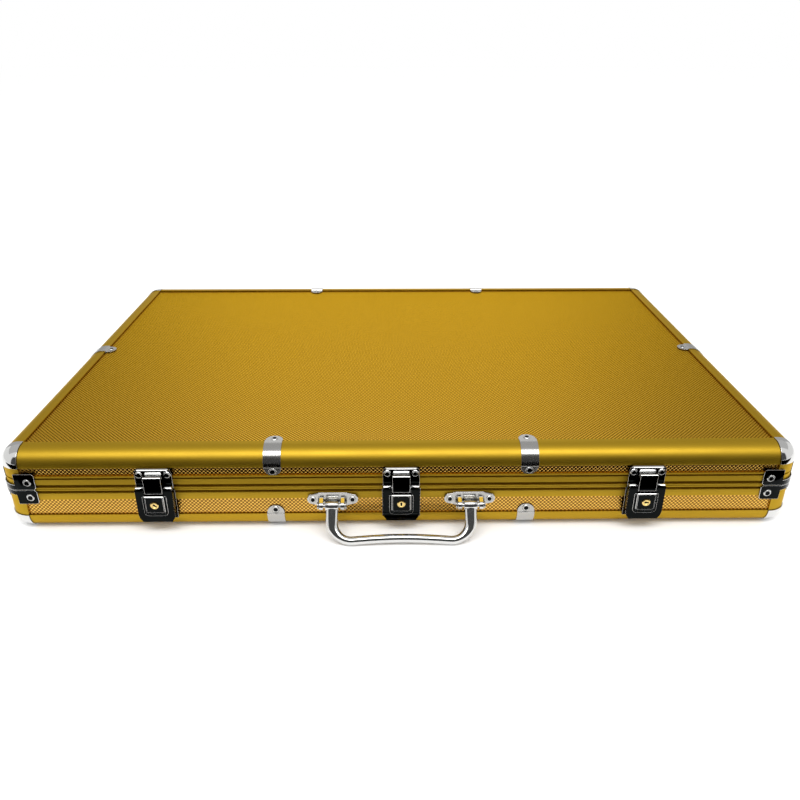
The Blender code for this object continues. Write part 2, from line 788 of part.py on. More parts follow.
def build_handle():
    """Carrying handle: a bowed grip on two legs that end in eyes round the pivot."""
    pivot = (out(handle_out), handle_height)
    swing = math.asin(handle_rest_drop / handle_reach)
    reach_y = -math.cos(swing)
    reach_z = -math.sin(swing)

    def spot(x, reach):
        return Vector((x, pivot[0] + reach * reach_y, pivot[1] + reach * reach_z))

    path = [(handle_leg, 0), (handle_leg, handle_reach - handle_corner)]
    bend = arc(handle_leg - handle_corner, handle_reach - handle_corner, handle_corner, 0, quarter_turn, 6)
    path += bend[1:]
    bow_steps = 6
    for step in range(1, bow_steps):
        share = step / bow_steps
        drop_back = handle_bow * math.sin(share * quarter_turn)
        path.append(((handle_leg - handle_corner) * (1 - share), handle_reach - drop_back))
    path.append((0, handle_reach - handle_bow))
    path += [(-x, reach) for x, reach in reversed(path[:-1])]
    normal = Vector((0, -reach_z, reach_y))
    sections = []
    for index, (x, reach) in enumerate(path):
        before = spot(*path[max(index - 1, 0)])
        after = spot(*path[min(index + 1, len(path) - 1)])
        if index == 1:
            after = spot(*path[index]) * 2 - before
        if index == len(path) - 2:
            before = spot(*path[index]) * 2 - after
        along = (after - before).normalized()
        across = normal.cross(along)
        here = spot(x, reach)
        ring = []
        for a, b in circle(0, 0, handle_radius, tube_sides):
            point = here + across * a + normal * b
            ring.append((point.x, point.y, point.z))
        sections.append(ring)
    handle = loft(sections)
    eyes = []
    bores = []
    for sign in (-1, 1):
        low = sign * handle_leg - eye_half
        high = sign * handle_leg + eye_half
        eyes.append(disc_x(pivot, eye_radius, low, high, bore_sides))
        bores.append(disc_x(pivot, eye_hole, low - eye_half, high + eye_half, hole_sides))
    merge(handle, eyes)
    cut(handle, bores)
    place(handle, "handle", chrome_shares, (0, pivot[0], pivot[1] + seam_height), seam_height)

    for name, sign in (("left", -1), ("right", 1)):
        centre = sign * handle_bracket_centre
        tip = handle_bracket_half - handle_bracket_tip
        outline = [
            (centre - handle_bracket_half, handle_bracket_height - handle_bracket_rise / 3),
            (centre - tip, handle_bracket_height - handle_bracket_rise),
            (centre + tip, handle_bracket_height - handle_bracket_rise),
            (centre + handle_bracket_half, handle_bracket_height - handle_bracket_rise / 3),
            (centre + handle_bracket_half, handle_bracket_height + handle_bracket_rise / 3),
            (centre + tip, handle_bracket_height + handle_bracket_rise),
            (centre - tip, handle_bracket_height + handle_bracket_rise),
            (centre - handle_bracket_half, handle_bracket_height + handle_bracket_rise / 3),
        ]
        bracket = face_prism(outline, out(clearance + handle_bracket_thick), out(clearance))
        lugs = []
        for near, far in (
            (handle_lug_inner, handle_lug_inner + handle_lug_thick),
            (handle_lug_outer - handle_lug_thick, handle_lug_outer),
        ):
            rounded = arc(handle_out, handle_height, handle_lug_round, -quarter_turn, quarter_turn, 6)
            side_view = [(clearance * 2, handle_lug_foot)] + rounded + [(clearance * 2, handle_lug_head)]
            low = min(sign * near, sign * far)
            high = max(sign * near, sign * far)
            lugs.append(side_prism(plate_yz(side_view), low, high))
        merge(bracket, lugs)
        bore = disc_x(
            pivot, handle_pin + clearance, centre - handle_bracket_half, centre + handle_bracket_half, hole_sides
        )
        cut(bracket, [bore])
        place(bracket, "handle_bracket_" + name, chrome_shares, lift=seam_height)
        low = min(sign * handle_lug_inner, sign * handle_lug_outer) - clearance
        high = max(sign * handle_lug_inner, sign * handle_lug_outer) + clearance
        pin = headed_pin(pivot, handle_pin, pin_head, pin_head_thick, low, high)
        place(pin, "handle_pin_" + name, steel_shares, lift=seam_height)


def back(distance):
    """Y of a distance behind the rear face."""
    return half_depth + distance


def build_hinge(name, x):
    """One hinge: base leaf with two knuckles, lid leaf with one and its stop lip, and the pin."""
    axis = (hinge_axis[1], hinge_axis[2])
    leaf_in = back(clearance)
    leaf_out = back(clearance + hinge_leaf_thick)
    spans = {
        "base": ((-hinge_half, -hinge_knuckle - clearance), (hinge_knuckle + clearance, hinge_half)),
        "lid": ((-hinge_knuckle, hinge_knuckle),),
    }
    blanks = {
        "base": ((-hinge_knuckle - clearance * 2, hinge_knuckle + clearance * 2),),
        "lid": ((-hinge_half * 2, -hinge_knuckle), (hinge_knuckle, hinge_half * 2)),
    }
    for half in (base, lid):
        down = half["inward"]
        near = seam_height - down * hinge_edge
        far = seam_height - down * (hinge_edge + hinge_leaf_reach)
        leaf = box((x - hinge_half, leaf_in, min(near, far)), (x + hinge_half, leaf_out, max(near, far)))
        clear = seam_height - down * hinge_slot
        gaps = []
        for low, high in blanks[half["name"]]:
            gaps.append(
                box(
                    (x + low, leaf_in - hinge_slot, min(clear, seam_height + down * hinge_slot)),
                    (x + high, leaf_out + hinge_slot, max(clear, seam_height + down * hinge_slot)),
                )
            )
        cut(leaf, gaps)
        knuckles = []
        for low, high in spans[half["name"]]:
            knuckles.append(disc_x(axis, hinge_barrel, x + low, x + high, bore_sides))
            edge = seam_height - down * hinge_barrel
            knuckles.append(
                box((x + low, leaf_in, min(near, edge)), (x + high, axis[0], max(near, edge)))
            )
        if half is lid:
            knuckles.append(
                box(
                    (x - hinge_knuckle, axis[0], axis[1] - hinge_stop_drop),
                    (x + hinge_knuckle, axis[0] + hinge_stop_reach, axis[1]),
                )
            )
        merge(leaf, knuckles)
        cut(leaf, [disc_x(axis, hinge_hole, x - hinge_half * 2, x + hinge_half * 2, hole_sides)])
        place(leaf, "hinge_" + half["name"] + "_leaf_" + name, chrome_shares, half["origin"])
    low = x - hinge_half - clearance
    high = x + hinge_half + clearance
    pin = headed_pin(axis, hinge_pin, hinge_barrel - clearance, pin_head_thick, low, high)
    place(pin, "hinge_pin_" + name, steel_shares)


def rounded_plan(half_x, half_y, corner, middle=(0, 0)):
    """Rectangle with rounded corners, as (x, y) points."""
    plan = []
    for number, (sign_x, sign_y) in enumerate(((1, 1), (-1, 1), (-1, -1), (1, -1))):
        x = middle[0] + sign_x * (half_x - corner)
        y = middle[1] + sign_y * (half_y - corner)
        plan += arc(x, y, corner, quarter_turn * number, quarter_turn * (number + 1), 3)
    return plan


def build_inside():
    """Trays in the base and the pad in the lid."""
    for name, sign in (("left", -1), ("right", 1)):
        centre = sign * (centre_tray_width / 2 + clearance + chip_tray_width / 2)
        plan = rounded_plan(chip_tray_width / 2, tray_length / 2, tray_corner, (centre, 0))
        tray = prism(plan, tray_under, chip_tray_top)
        channels = []
        for column in range(-2, 3):
            for row in (-1, 1):
                middle = centre + column * chip_pitch
                low = row * chip_row_centre - chip_row / 2
                high = row * chip_row_centre + chip_row / 2
                outline = circle(middle, chip_channel_height, chip_channel, channel_sides)
                channels.append(face_prism(outline, low, high))
        cut(tray, channels)
        place(tray, "chip_tray_" + name, flock_shares)

    tray_top = tray_under + centre_tray_rise
    half_x = centre_tray_width / 2
    half_y = tray_length / 2
    tray = box((-half_x, -half_y, tray_under), (half_x, half_y, tray_top))
    wells = []
    y = half_y - well_wall
    for number, share in enumerate(well_shares):
        half_well = wells_length * share / 2
        if number == button_well_place:
            plan = circle(0, y - half_well, half_well, channel_sides)
        else:
            plan = rounded_plan(card_well_width / 2, half_well, well_corner, (0, y - half_well))
        wells.append(prism(plan, tray_under + centre_tray_floor, tray_top * 2))
        y -= half_well * 2 + well_wall
    cut(tray, wells)
    place(tray, "centre_tray", flock_shares)

    x = half_width - arm_inner - pad_slack
    y = half_depth - arm_inner - pad_slack
    pad = prism(rounded_plan(x, y, pad_corner), pad_top - pad_thick, pad_top)
    place(pad, "lid_pad", foam_shares, lid["origin"])


for half in (base, lid):
    build_panel(half)
    build_walls(half)
    build_frame(half)
    for side_name in sides:
        build_rail(half, side_name)
    for corner_name in corners:
        build_corner(half, corner_name)
        build_bracket(half, corner_name)

for latch_name, latch_x in (("left", -latch_spacing), ("centre", 0), ("right", latch_spacing)):
    build_latch(latch_name, latch_x)

build_handle()

for hinge_name, hinge_x in (("left", -hinge_spacing), ("right", hinge_spacing)):
    build_hinge(hinge_name, hinge_x)

build_inside()
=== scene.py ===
"""Looks for a flat poker chip case: gold rails and patterned boards, chrome fittings, flocked trays inside.

Everything is in metres in the frame's own axes: +Z up, the latches in front at -Y, the table at z = 0.
A place on a half is given as its inset from an outer face and its depth below the top or bottom face.
"""

import json
import math

import bmesh
import bpy
from bpy.props import FloatProperty, FloatVectorProperty, IntProperty, PointerProperty
from bpy.types import Operator, Panel, PropertyGroup
from mathutils import Matrix, Vector

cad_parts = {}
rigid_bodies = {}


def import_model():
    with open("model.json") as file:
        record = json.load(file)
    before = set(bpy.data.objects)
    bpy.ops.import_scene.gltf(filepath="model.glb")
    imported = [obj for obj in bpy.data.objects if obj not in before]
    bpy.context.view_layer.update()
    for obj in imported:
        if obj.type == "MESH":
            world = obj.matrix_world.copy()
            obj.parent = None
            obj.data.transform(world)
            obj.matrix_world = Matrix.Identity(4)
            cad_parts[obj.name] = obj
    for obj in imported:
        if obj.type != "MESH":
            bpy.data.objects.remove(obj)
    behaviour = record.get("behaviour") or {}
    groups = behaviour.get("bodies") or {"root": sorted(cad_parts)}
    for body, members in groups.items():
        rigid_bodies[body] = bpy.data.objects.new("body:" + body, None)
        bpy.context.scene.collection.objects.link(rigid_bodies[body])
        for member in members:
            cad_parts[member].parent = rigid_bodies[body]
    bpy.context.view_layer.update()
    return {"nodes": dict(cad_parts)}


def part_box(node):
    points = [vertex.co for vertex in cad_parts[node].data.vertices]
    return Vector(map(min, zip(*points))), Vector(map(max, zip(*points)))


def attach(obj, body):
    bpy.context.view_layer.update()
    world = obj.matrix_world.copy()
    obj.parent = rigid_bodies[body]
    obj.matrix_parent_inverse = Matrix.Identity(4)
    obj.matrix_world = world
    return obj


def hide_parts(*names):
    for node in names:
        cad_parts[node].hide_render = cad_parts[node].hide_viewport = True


bl_info = {
    "name": "Poker chip case looks",
    "version": (1, 0, 0),
    "blender": (4, 5, 0),
    "location": "3D View > Sidebar > Chip case",
    "description": "Dresses a modelled poker chip case with its finishes, fastenings, trays and studio",
    "category": "Object",
}

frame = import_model()

# The case, as in its solids
CASE_WIDTH = 0.570
CASE_DEPTH = 0.384
CASE_HEIGHT = 0.066
SEAM = 0.0353
STRAP_PROUD = 0.0007
RAIL_ROUND = 0.0128
RAIL_INSET = 0.0158
RAIL_SKIN = 0.0010
RAIL_LIP = 0.0028
RAIL_END = 0.0161
FIT = 0.0003
HALF_WIDTH = CASE_WIDTH / 2
HALF_DEPTH = CASE_DEPTH / 2
STRAP_X = 0.0910
LATCH_X = 0.1750
QUARTER = math.pi / 2

# Meshing
MERGE = 0.000002
ON_AXIS = 0.00001
FLAT_ANGLE = math.radians(1)
BEVEL_ANGLE = math.radians(28)

# Rounding of the edges of each kind of piece
EDGES = {
    "board": 0.0001, "frame": 0.00014, "strap": 0.00015, "housing": 0.00018, "cap": 0.0002, "lip": 0.0002,
    "bracket": 0.00028, "latch_plate": 0.0003, "hook": 0.00032, "keeper": 0.00035, "lugs": 0.0004,
    "lever": 0.00045, "handle_bracket": 0.0005, "tray": 0.0006,
}

SIDES = {"front": (0, -1), "right": (1, 0), "rear": (0, 1), "left": (-1, 0)}
CORNERS = {"front_right": (1, -1), "rear_right": (1, 1), "rear_left": (-1, 1), "front_left": (-1, -1)}
LATCHES = {"left": -LATCH_X, "centre": 0.0, "right": LATCH_X}
HALVES = {
    "base": {"face": STRAP_PROUD, "inward": 1, "seam": SEAM - FIT / 2},
    "lid": {"face": CASE_HEIGHT - STRAP_PROUD, "inward": -1, "seam": SEAM + FIT / 2},
}


# Settings


class CaseFinishes(PropertyGroup):
    """Colours and finishes of the case."""

    gold: FloatVectorProperty(
        name="Gold", description="Rails, bands and posts", subtype="COLOR", size=3, min=0, max=1,
        default=(0.455, 0.285, 0.014),
    )
    gold_roughness: FloatProperty(
        name="Gold roughness", description="Softness of the gold's reflections", subtype="FACTOR", min=0,
        max=1, default=0.46,
    )
    # Painted shade: a darker, rougher gold on the groove floors stands in for the shade that falls in the
    # grooves.
    dark_gold: FloatVectorProperty(
        name="Dark gold", description="Floors of the grooves", subtype="COLOR", size=3, min=0, max=1,
        default=(0.13, 0.070, 0.003),
    )
    strap: FloatVectorProperty(
        name="Straps", description="Satin steel of the straps and handle brackets", subtype="COLOR", size=3,
        min=0, max=1, default=(0.46, 0.455, 0.44),
    )
    chrome: FloatVectorProperty(
        name="Chrome", description="Caps, handle, hinges and latch edges", subtype="COLOR", size=3, min=0,
        max=1, default=(0.66, 0.66, 0.65),
    )
    chrome_roughness: FloatProperty(
        name="Chrome roughness", description="Softness of the chrome's reflections", subtype="FACTOR", min=0,
        max=1, default=0.09,
    )
    steel: FloatVectorProperty(
        name="Steel", description="Rivets, screws and pins", subtype="COLOR", size=3, min=0, max=1,
        default=(0.50, 0.50, 0.49),
    )
    # Painted dark reflection: near-black chrome stands in for the dark surroundings that the latch and
    # bracket faces mirror; it also paints shade in rivet hollows and key slots.
    dark_chrome: FloatVectorProperty(
        name="Dark chrome", description="Faces of the latches and seam brackets", subtype="COLOR", size=3,
        min=0, max=1, default=(0.007, 0.008, 0.008),
    )
    brass: FloatVectorProperty(
        name="Brass", description="Lock cylinders", subtype="COLOR", size=3, min=0, max=1,
        default=(0.78, 0.58, 0.22),
    )
    board: FloatVectorProperty(
        name="Board", description="Sunk ground of the patterned boards", subtype="COLOR", size=3, min=0,
        max=1, default=(0.21, 0.105, 0.022),
    )
    dots: FloatVectorProperty(
        name="Dots", description="Raised dots of the patterned boards", subtype="COLOR", size=3, min=0, max=1,
        default=(0.82, 0.49, 0.095),
    )
    flock: FloatVectorProperty(
        name="Flock", description="Flocked trays", subtype="COLOR", size=3, min=0, max=1,
        default=(0.016, 0.016, 0.018),
    )
    foam: FloatVectorProperty(
        name="Foam", description="Foam in the lid", subtype="COLOR", size=3, min=0, max=1,
        default=(0.030, 0.030, 0.033),
    )


class CaseSizes(PropertyGroup):
    """Small sizes that the solids leave out."""

    dot_pitch: FloatProperty(
        name="Dot pitch", description="Distance between dots along a row", unit="LENGTH", min=0.0005,
        default=0.00282,
    )
    edge_round: FloatProperty(
        name="Edge round", description="Rounding of the metal's edges", unit="LENGTH", min=0.00002,
        default=0.00022,
    )
    rivet_radius: FloatProperty(
        name="Rivet radius", description="Radius of the rivet heads", unit="LENGTH", min=0.0005,
        default=0.0028,
    )
    foam_pitch: FloatProperty(
        name="Foam pitch", description="Distance between the bumps of the lid foam", unit="LENGTH", min=0.005,
        default=0.0265,
    )
    round_steps: IntProperty(
        name="Round steps", description="Steps of a quarter turn on the rails and caps", min=4, default=16
    )


def finishes():
    """The scene's finishes."""
    return bpy.context.scene.case_finishes


def sizes():
    """The scene's small sizes."""
    return bpy.context.scene.case_sizes


# Materials


class Wiring:
    """Adds nodes to one tree and joins them."""

    def __init__(self, tree):
        self.tree = tree

    def node(self, kind, inputs=None, **settings):
        """A node with its settings, its inputs given as values or as other nodes' outputs."""
        made = self.tree.nodes.new(kind)
        for key, value in settings.items():
            setattr(made, key, value)
        for key, value in (inputs or {}).items():
            if isinstance(value, bpy.types.NodeSocket):
                self.tree.links.new(value, made.inputs[key])
            else:
                made.inputs[key].default_value = value
        return made

    def sum(self, operation, *values):
        """A Math node's result."""
        return self.node("ShaderNodeMath", dict(enumerate(values)), operation=operation).outputs[0]

    def blend(self, share, first, second):
        """A colour between two colours."""
        mix = self.node("ShaderNodeMix", data_type="RGBA")
        for key, value in ((0, share), (6, first), (7, second)):
            if isinstance(value, bpy.types.NodeSocket):
                self.tree.links.new(value, mix.inputs[key])
            else:
                mix.inputs[key].default_value = value
        return mix.outputs[2]

    def ramp(self, value, low, high, low_out=0.0, high_out=1.0):
        """A value moved smoothly from one range to another."""
        inputs = {"Value": value, "From Min": low, "From Max": high, "To Min": low_out, "To Max": high_out}
        return self.node("ShaderNodeMapRange", inputs, interpolation_type="SMOOTHSTEP").outputs[0]

    def noise(self, place, scale, detail=3.0, roughness=0.5):
        """Noise at a place, from 0 to 1."""
        inputs = {"Vector": place, "Scale": scale, "Detail": detail, "Roughness": roughness}
        return self.node("ShaderNodeTexNoise", inputs).outputs[0]


def new_group(name, inputs, outputs):
    """An empty shader node group, its wiring, and its input and output nodes."""
    tree = bpy.data.node_groups.new(name, "ShaderNodeTree")
    for title, kind, value in inputs:
        socket = tree.interface.new_socket(name=title, in_out="INPUT", socket_type="NodeSocket" + kind)
        socket.default_value = value
    for title, kind in outputs:
        tree.interface.new_socket(name=title, in_out="OUTPUT", socket_type="NodeSocket" + kind)
    wiring = Wiring(tree)
    return tree, wiring, wiring.node("NodeGroupInput").outputs, wiring.node("NodeGroupOutput").inputs


def metal_grain_group():
    """Fine drawn grain and slow cloudiness of a metal sheet."""
    tree, w, given, result = new_group(
        "metal_grain",
        (
            ("Colour", "Color", (0.6, 0.6, 0.6, 1)),
            ("Roughness", "Float", 0.2),
            ("Cloud", "Float", 0.1),
            ("Grain", "Float", 0.1),
        ),
        (("Colour", "Color"), ("Roughness", "Float"), ("Height", "Float")),
    )
    place = w.node("ShaderNodeTexCoord").outputs["Object"]
    stretched = w.node("ShaderNodeMapping", {"Vector": place, "Scale": (60, 900, 900)}).outputs[0]
    cloud = w.noise(place, scale=38.0, detail=4.0)
    fine = w.noise(place, scale=1400.0, detail=2.0)
    drawn = w.noise(stretched, scale=1.0, detail=3.0)
    middle = 0.5
    dust_share = 0.5
    smoothest = 0.03
    darker = w.node("ShaderNodeHueSaturation", {"Value": 0.72, "Color": given["Colour"]}).outputs[0]
    share = w.sum("MULTIPLY", w.ramp(cloud, low=0.35, high=0.75), given["Cloud"])
    w.tree.links.new(w.blend(share, given["Colour"], darker), result["Colour"])
    spread = w.sum("MULTIPLY", w.sum("SUBTRACT", cloud, middle), given["Cloud"])
    dust = w.sum("MULTIPLY", w.sum("SUBTRACT", fine, middle), given["Grain"])
    rough = w.sum("ADD", given["Roughness"], w.sum("ADD", spread, w.sum("MULTIPLY", dust, dust_share)))
    w.tree.links.new(w.sum("MAXIMUM", rough, smoothest), result["Roughness"])
    w.tree.links.new(w.sum("MULTIPLY", drawn, given["Grain"]), result["Height"])
    return tree


def dot_lattice_group():
    """Rows of raised dots, alternate rows shifted by half, laid out on each flat face."""
    tree, w, given, result = new_group(
        "dot_lattice",
        (("Pitch", "Float", 0.0028), ("Fill", "Float", 0.3)),
        (("Mask", "Float"), ("Height", "Float")),
    )
    mostly = 0.6
    coordinates = w.node("ShaderNodeTexCoord")
    place = w.node("ShaderNodeSeparateXYZ", {0: coordinates.outputs["Object"]}).outputs
    facing = w.node("ShaderNodeSeparateXYZ", {0: coordinates.outputs["Normal"]}).outputs
    faces_side = w.sum("GREATER_THAN", w.sum("ABSOLUTE", facing[0]), mostly)
    faces_up = w.sum("GREATER_THAN", w.sum("ABSOLUTE", facing[2]), mostly)
    along = w.node("ShaderNodeMix", {0: faces_side, 2: place[0], 3: place[1]}, data_type="FLOAT").outputs[0]
    across = w.node("ShaderNodeMix", {0: faces_up, 2: place[2], 3: place[1]}, data_type="FLOAT").outputs[0]
    turns = w.sum("DIVIDE", 2 * math.pi, given["Pitch"])
    wave_along = w.sum("COSINE", w.sum("MULTIPLY", along, turns))
    wave_across = w.sum("COSINE", w.sum("MULTIPLY", across, turns))
    lattice = w.sum("MULTIPLY", wave_along, wave_across)
    over = w.sum("SUBTRACT", lattice, given["Fill"])
    w.tree.links.new(w.ramp(over, low=-0.12, high=0.16), result["Mask"])
    w.tree.links.new(w.ramp(over, low=-0.20, high=0.60), result["Height"])
    return tree


def nap_group():
    """Short pile or open cells: a speckled height and a share for the lighter fibre tips."""
    tree, w, given, result = new_group(
        "nap",
        (("Scale", "Float", 1500.0), ("Patches", "Float", 40.0)),
        (("Tips", "Float"), ("Height", "Float")),
    )
    place = w.node("ShaderNodeTexCoord").outputs["Object"]
    speck = w.noise(place, given["Scale"], detail=3.0, roughness=0.7)
    patch = w.noise(place, given["Patches"], detail=3.0)
    thick = w.ramp(patch, low=0.2, high=0.8, low_out=0.35, high_out=1.0)
    tips = w.sum("MULTIPLY", w.ramp(speck, low=0.45, high=0.75), thick)
    w.tree.links.new(tips, result["Tips"])
    w.tree.links.new(speck, result["Height"])
    return tree


GROUPS = {"metal_grain": metal_grain_group, "dot_lattice": dot_lattice_group, "nap": nap_group}


def group_node(wiring, name, inputs):
    """A shared group placed in a material, built on its first use."""
    tree = bpy.data.node_groups.get(name) or GROUPS[name]()
    made = wiring.node("ShaderNodeGroup", node_tree=tree)
    for key, value in inputs.items():
        made.inputs[key].default_value = value
    return made.outputs


def start_material(name):
    """A new material, its wiring and its shader."""
    material = bpy.data.materials.new(name)
    material.use_nodes = True
    return material, Wiring(material.node_tree), material.node_tree.nodes["Principled BSDF"]


def opaque(colour):
    """A colour with its alpha."""
    return (colour[0], colour[1], colour[2], 1.0)


WHITE = (1.0, 1.0, 1.0, 1.0)
GOLD_RIM = (1.0, 0.80, 0.30, 1.0)


def metal_look(name, colour, roughness, cloud, grain, depth, rim=WHITE, coat=0.0):
    """A metal with drawn grain and slow cloudiness; rim is its tint at a glancing angle, and the coat is the
    clear layer of anodising."""
    material, w, shader = start_material(name)
    shader.inputs["Metallic"].default_value = 1.0
    shader.inputs["Coat Weight"].default_value = coat
    shader.inputs["Coat Roughness"].default_value = 0.36
    shader.inputs["Specular Tint"].default_value = rim
    inputs = {"Colour": opaque(colour), "Roughness": roughness, "Cloud": cloud, "Grain": grain}
    surface = group_node(w, "metal_grain", inputs)
    bump = w.node("ShaderNodeBump", {"Height": surface["Height"], "Distance": depth, "Strength": 0.5})
    w.tree.links.new(surface["Colour"], shader.inputs["Base Color"])
    w.tree.links.new(surface["Roughness"], shader.inputs["Roughness"])
    w.tree.links.new(bump.outputs[0], shader.inputs["Normal"])
    return material


def board_look():
    """Metallic sheet with an embossed lattice of dots."""
    look = finishes()
    material, w, shader = start_material("patterned_board")
    shader.inputs["Metallic"].default_value = 1.0
    shader.inputs["Specular Tint"].default_value = GOLD_RIM
    lattice = group_node(w, "dot_lattice", {"Pitch": sizes().dot_pitch, "Fill": 0.06})
    sheet = {"Colour": opaque(look.board), "Roughness": 0.13, "Cloud": 0.05, "Grain": 0.15}
    ground = group_node(w, "metal_grain", sheet)
    dots_rougher = 0.09
    colour = w.blend(lattice["Mask"], ground["Colour"], opaque(look.dots))
    rough = w.sum("ADD", ground["Roughness"], w.sum("MULTIPLY", lattice["Mask"], dots_rougher))
    bump = w.node("ShaderNodeBump", {"Height": lattice["Height"], "Distance": 0.00022, "Strength": 0.35})
    w.tree.links.new(colour, shader.inputs["Base Color"])
    w.tree.links.new(rough, shader.inputs["Roughness"])
    w.tree.links.new(bump.outputs[0], shader.inputs["Normal"])
    return material


def pile_look(name, colour, tip_gain, scale, patches, depth, sheen):
    """A soft dark surface: flock or foam."""
    material, w, shader = start_material(name)
    shader.inputs["Roughness"].default_value = 0.95
    shader.inputs["Sheen Weight"].default_value = sheen
    shader.inputs["Sheen Roughness"].default_value = 0.4
    pile = group_node(w, "nap", {"Scale": scale, "Patches": patches})
    tips = opaque([min(1.0, part * tip_gain) for part in colour])
    bump = w.node("ShaderNodeBump", {"Height": pile["Height"], "Distance": depth, "Strength": 0.7})
    w.tree.links.new(w.blend(pile["Tips"], opaque(colour), tips), shader.inputs["Base Color"])
    w.tree.links.new(bump.outputs[0], shader.inputs["Normal"])
    return material


def look_named(name):
    """One of the case's materials, made on its first use."""
    made = bpy.data.materials.get(name)
    if made:
        return made
    look = finishes()
    if name == "satin_gold":
        return metal_look(
            name, look.gold, look.gold_roughness, cloud=0.12, grain=0.12, depth=0.00002, rim=GOLD_RIM,
            coat=0.22,
        )
    # Gold with painted shade, for the groove floors
    if name == "dark_gold":
        return metal_look(
            name, look.dark_gold, roughness=0.5, cloud=0.4, grain=0.2, depth=0.00002, rim=GOLD_RIM
        )
    if name == "strap_steel":
        return metal_look(name, look.strap, roughness=0.2, cloud=0.15, grain=0.15, depth=0.00001)
    # Chrome with a painted dark reflection, near black
    if name == "dark_chrome":
        return metal_look(name, look.dark_chrome, roughness=0.07, cloud=0.1, grain=0.04, depth=0.000004)
    if name == "brass":
        return metal_look(name, look.brass, roughness=0.18, cloud=0.2, grain=0.1, depth=0.000006)
    if name == "chrome":
        return metal_look(name, look.chrome, look.chrome_roughness, cloud=0.05, grain=0.04, depth=0.000004)
    if name == "rivet_steel":
        return metal_look(name, look.steel, roughness=0.2, cloud=0.15, grain=0.1, depth=0.00001)
    if name == "patterned_board":
        return board_look()
    if name == "flock":
        return pile_look(
            name, look.flock, tip_gain=3.2, scale=2200.0, patches=45.0, depth=0.00025, sheen=0.35
        )
    if name == "lid_foam":
        return pile_look(
            name, look.foam, tip_gain=2.2, scale=900.0, patches=60.0, depth=0.0005, sheen=0.1
        )
    raise ValueError("no finish is named " + name)


# Mesh helpers


def on_side(side, along, inset, height):
    """Point on a side: along it from its middle, in from its outer face, at a height."""
    x = side[0] * (HALF_WIDTH - inset) - side[1] * along
    y = side[1] * (HALF_DEPTH - inset) + side[0] * along
    return Vector((x, y, height))


def drop(half, depth):
    """Height of a depth measured in from the outer face of a half."""
    return HALVES[half]["face"] + HALVES[half]["inward"] * depth


def from_seam(half, rise):
    """Height of a distance measured from the seam into a half."""
    return HALVES[half]["seam"] - HALVES[half]["inward"] * rise


def arc(a, b, radius, start, end, steps):
    """Points of an arc from one angle to another."""
    return [
        (
            a + radius * math.cos(start + (end - start) * k / steps),
            b + radius * math.sin(start + (end - start) * k / steps),
        )
        for k in range(steps + 1)
    ]


def skin(body, sections, ring=False, marked=()):
    """Faces through sections of equal point count, capped unless they close on themselves; the faces on the
    marked outline edges take the second finish."""
    rows = [[body.verts.new(point) for point in section] for section in sections]
    count = len(rows[0])
    spans = len(rows) if ring else len(rows) - 1
    for step in range(spans):
        here = rows[step]
        there = rows[(step + 1) % len(rows)]
        for index in range(count):
            after = (index + 1) % count
            face = body.faces.new((here[index], here[after], there[after], there[index]))
            face.material_index = 1 if index in marked else 0
    if not ring:
        body.faces.new(list(reversed(rows[0])))
        body.faces.new(rows[-1])


def turned(body, profile, centre, direction, segments=28, marked=()):
    """A body of revolution on a profile of (radius, height) points, with closed ends; the bands that start at
    the marked points take the second finish."""
    axis = Vector(direction).normalized()
    side = axis.orthogonal().normalized()
    other = axis.cross(side)
    rings = []
    for radius, height in profile:
        middle = Vector(centre) + axis * height
        if radius < ON_AXIS:
            rings.append([body.verts.new(middle)])
            continue
        ring = []
        for k in range(segments):
            turn = 2 * math.pi * k / segments
            ring.append(body.verts.new(middle + (side * math.cos(turn) + other * math.sin(turn)) * radius))
        rings.append(ring)
    for number, (near, far) in enumerate(zip(rings, rings[1:])):
        for k in range(segments):
            after = (k + 1) % segments
            if len(near) == 1:
                face = body.faces.new((near[0], far[k], far[after]))
            elif len(far) == 1:
                face = body.faces.new((near[k], near[after], far[0]))
            else:
                face = body.faces.new((near[k], near[after], far[after], far[k]))
            face.material_index = 1 if number in marked else 0
    for ring, flip in ((rings[0], False), (rings[-1], True)):
        if len(ring) > 1:
            body.faces.new(ring if flip else list(reversed(ring)))


def piece(
    name, body, look, rides_on, replaced=(), bevel=None, segments=2, smooth_angle=35, edge=None,
    second=None,
):
    """Turns a bmesh into a finished piece on its CAD body; edge is another finish for its rounded edges, and
    second one for its marked faces."""
    bmesh.ops.recalc_face_normals(body, faces=body.faces)
    mesh = bpy.data.meshes.new(name)
    body.to_mesh(mesh)
    body.free()
    mesh.materials.append(look_named(look))
    if edge or second:
        mesh.materials.append(look_named(edge or second))
    made = bpy.data.objects.new(name, mesh)
    bpy.context.scene.collection.objects.link(made)
    if bevel:
        rounding = made.modifiers.new("edges", "BEVEL")
        rounding.width = bevel
        rounding.segments = segments
        rounding.limit_method = "ANGLE"
        rounding.angle_limit = BEVEL_ANGLE
        rounding.harden_normals = True
        rounding.material = 1 if edge else -1
    mesh.shade_smooth()
    mesh.set_sharp_from_angle(angle=math.radians(smooth_angle))
    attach(made, rides_on)
    if replaced:
        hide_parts(*replaced)
    return made


def body_of_node(node):
    """Name of the CAD body that carries a node."""
    return frame["nodes"][node].parent.name.split(":", 1)[-1]


def dress(node, look, bevel=None, segments=2, smooth_angle=35, edge=None):
    """A piece on a CAD node's own form, with its edges rounded."""
    body = bmesh.new()
    body.from_mesh(frame["nodes"][node].data)
    bmesh.ops.remove_doubles(body, verts=body.verts, dist=MERGE)
    bmesh.ops.dissolve_limit(body, angle_limit=FLAT_ANGLE, verts=body.verts, edges=body.edges)
    return piece(
        node + "_shell", body, look, body_of_node(node), (node,), bevel or sizes().edge_round, segments,
        smooth_angle, edge,
    )


# Pieces of the case


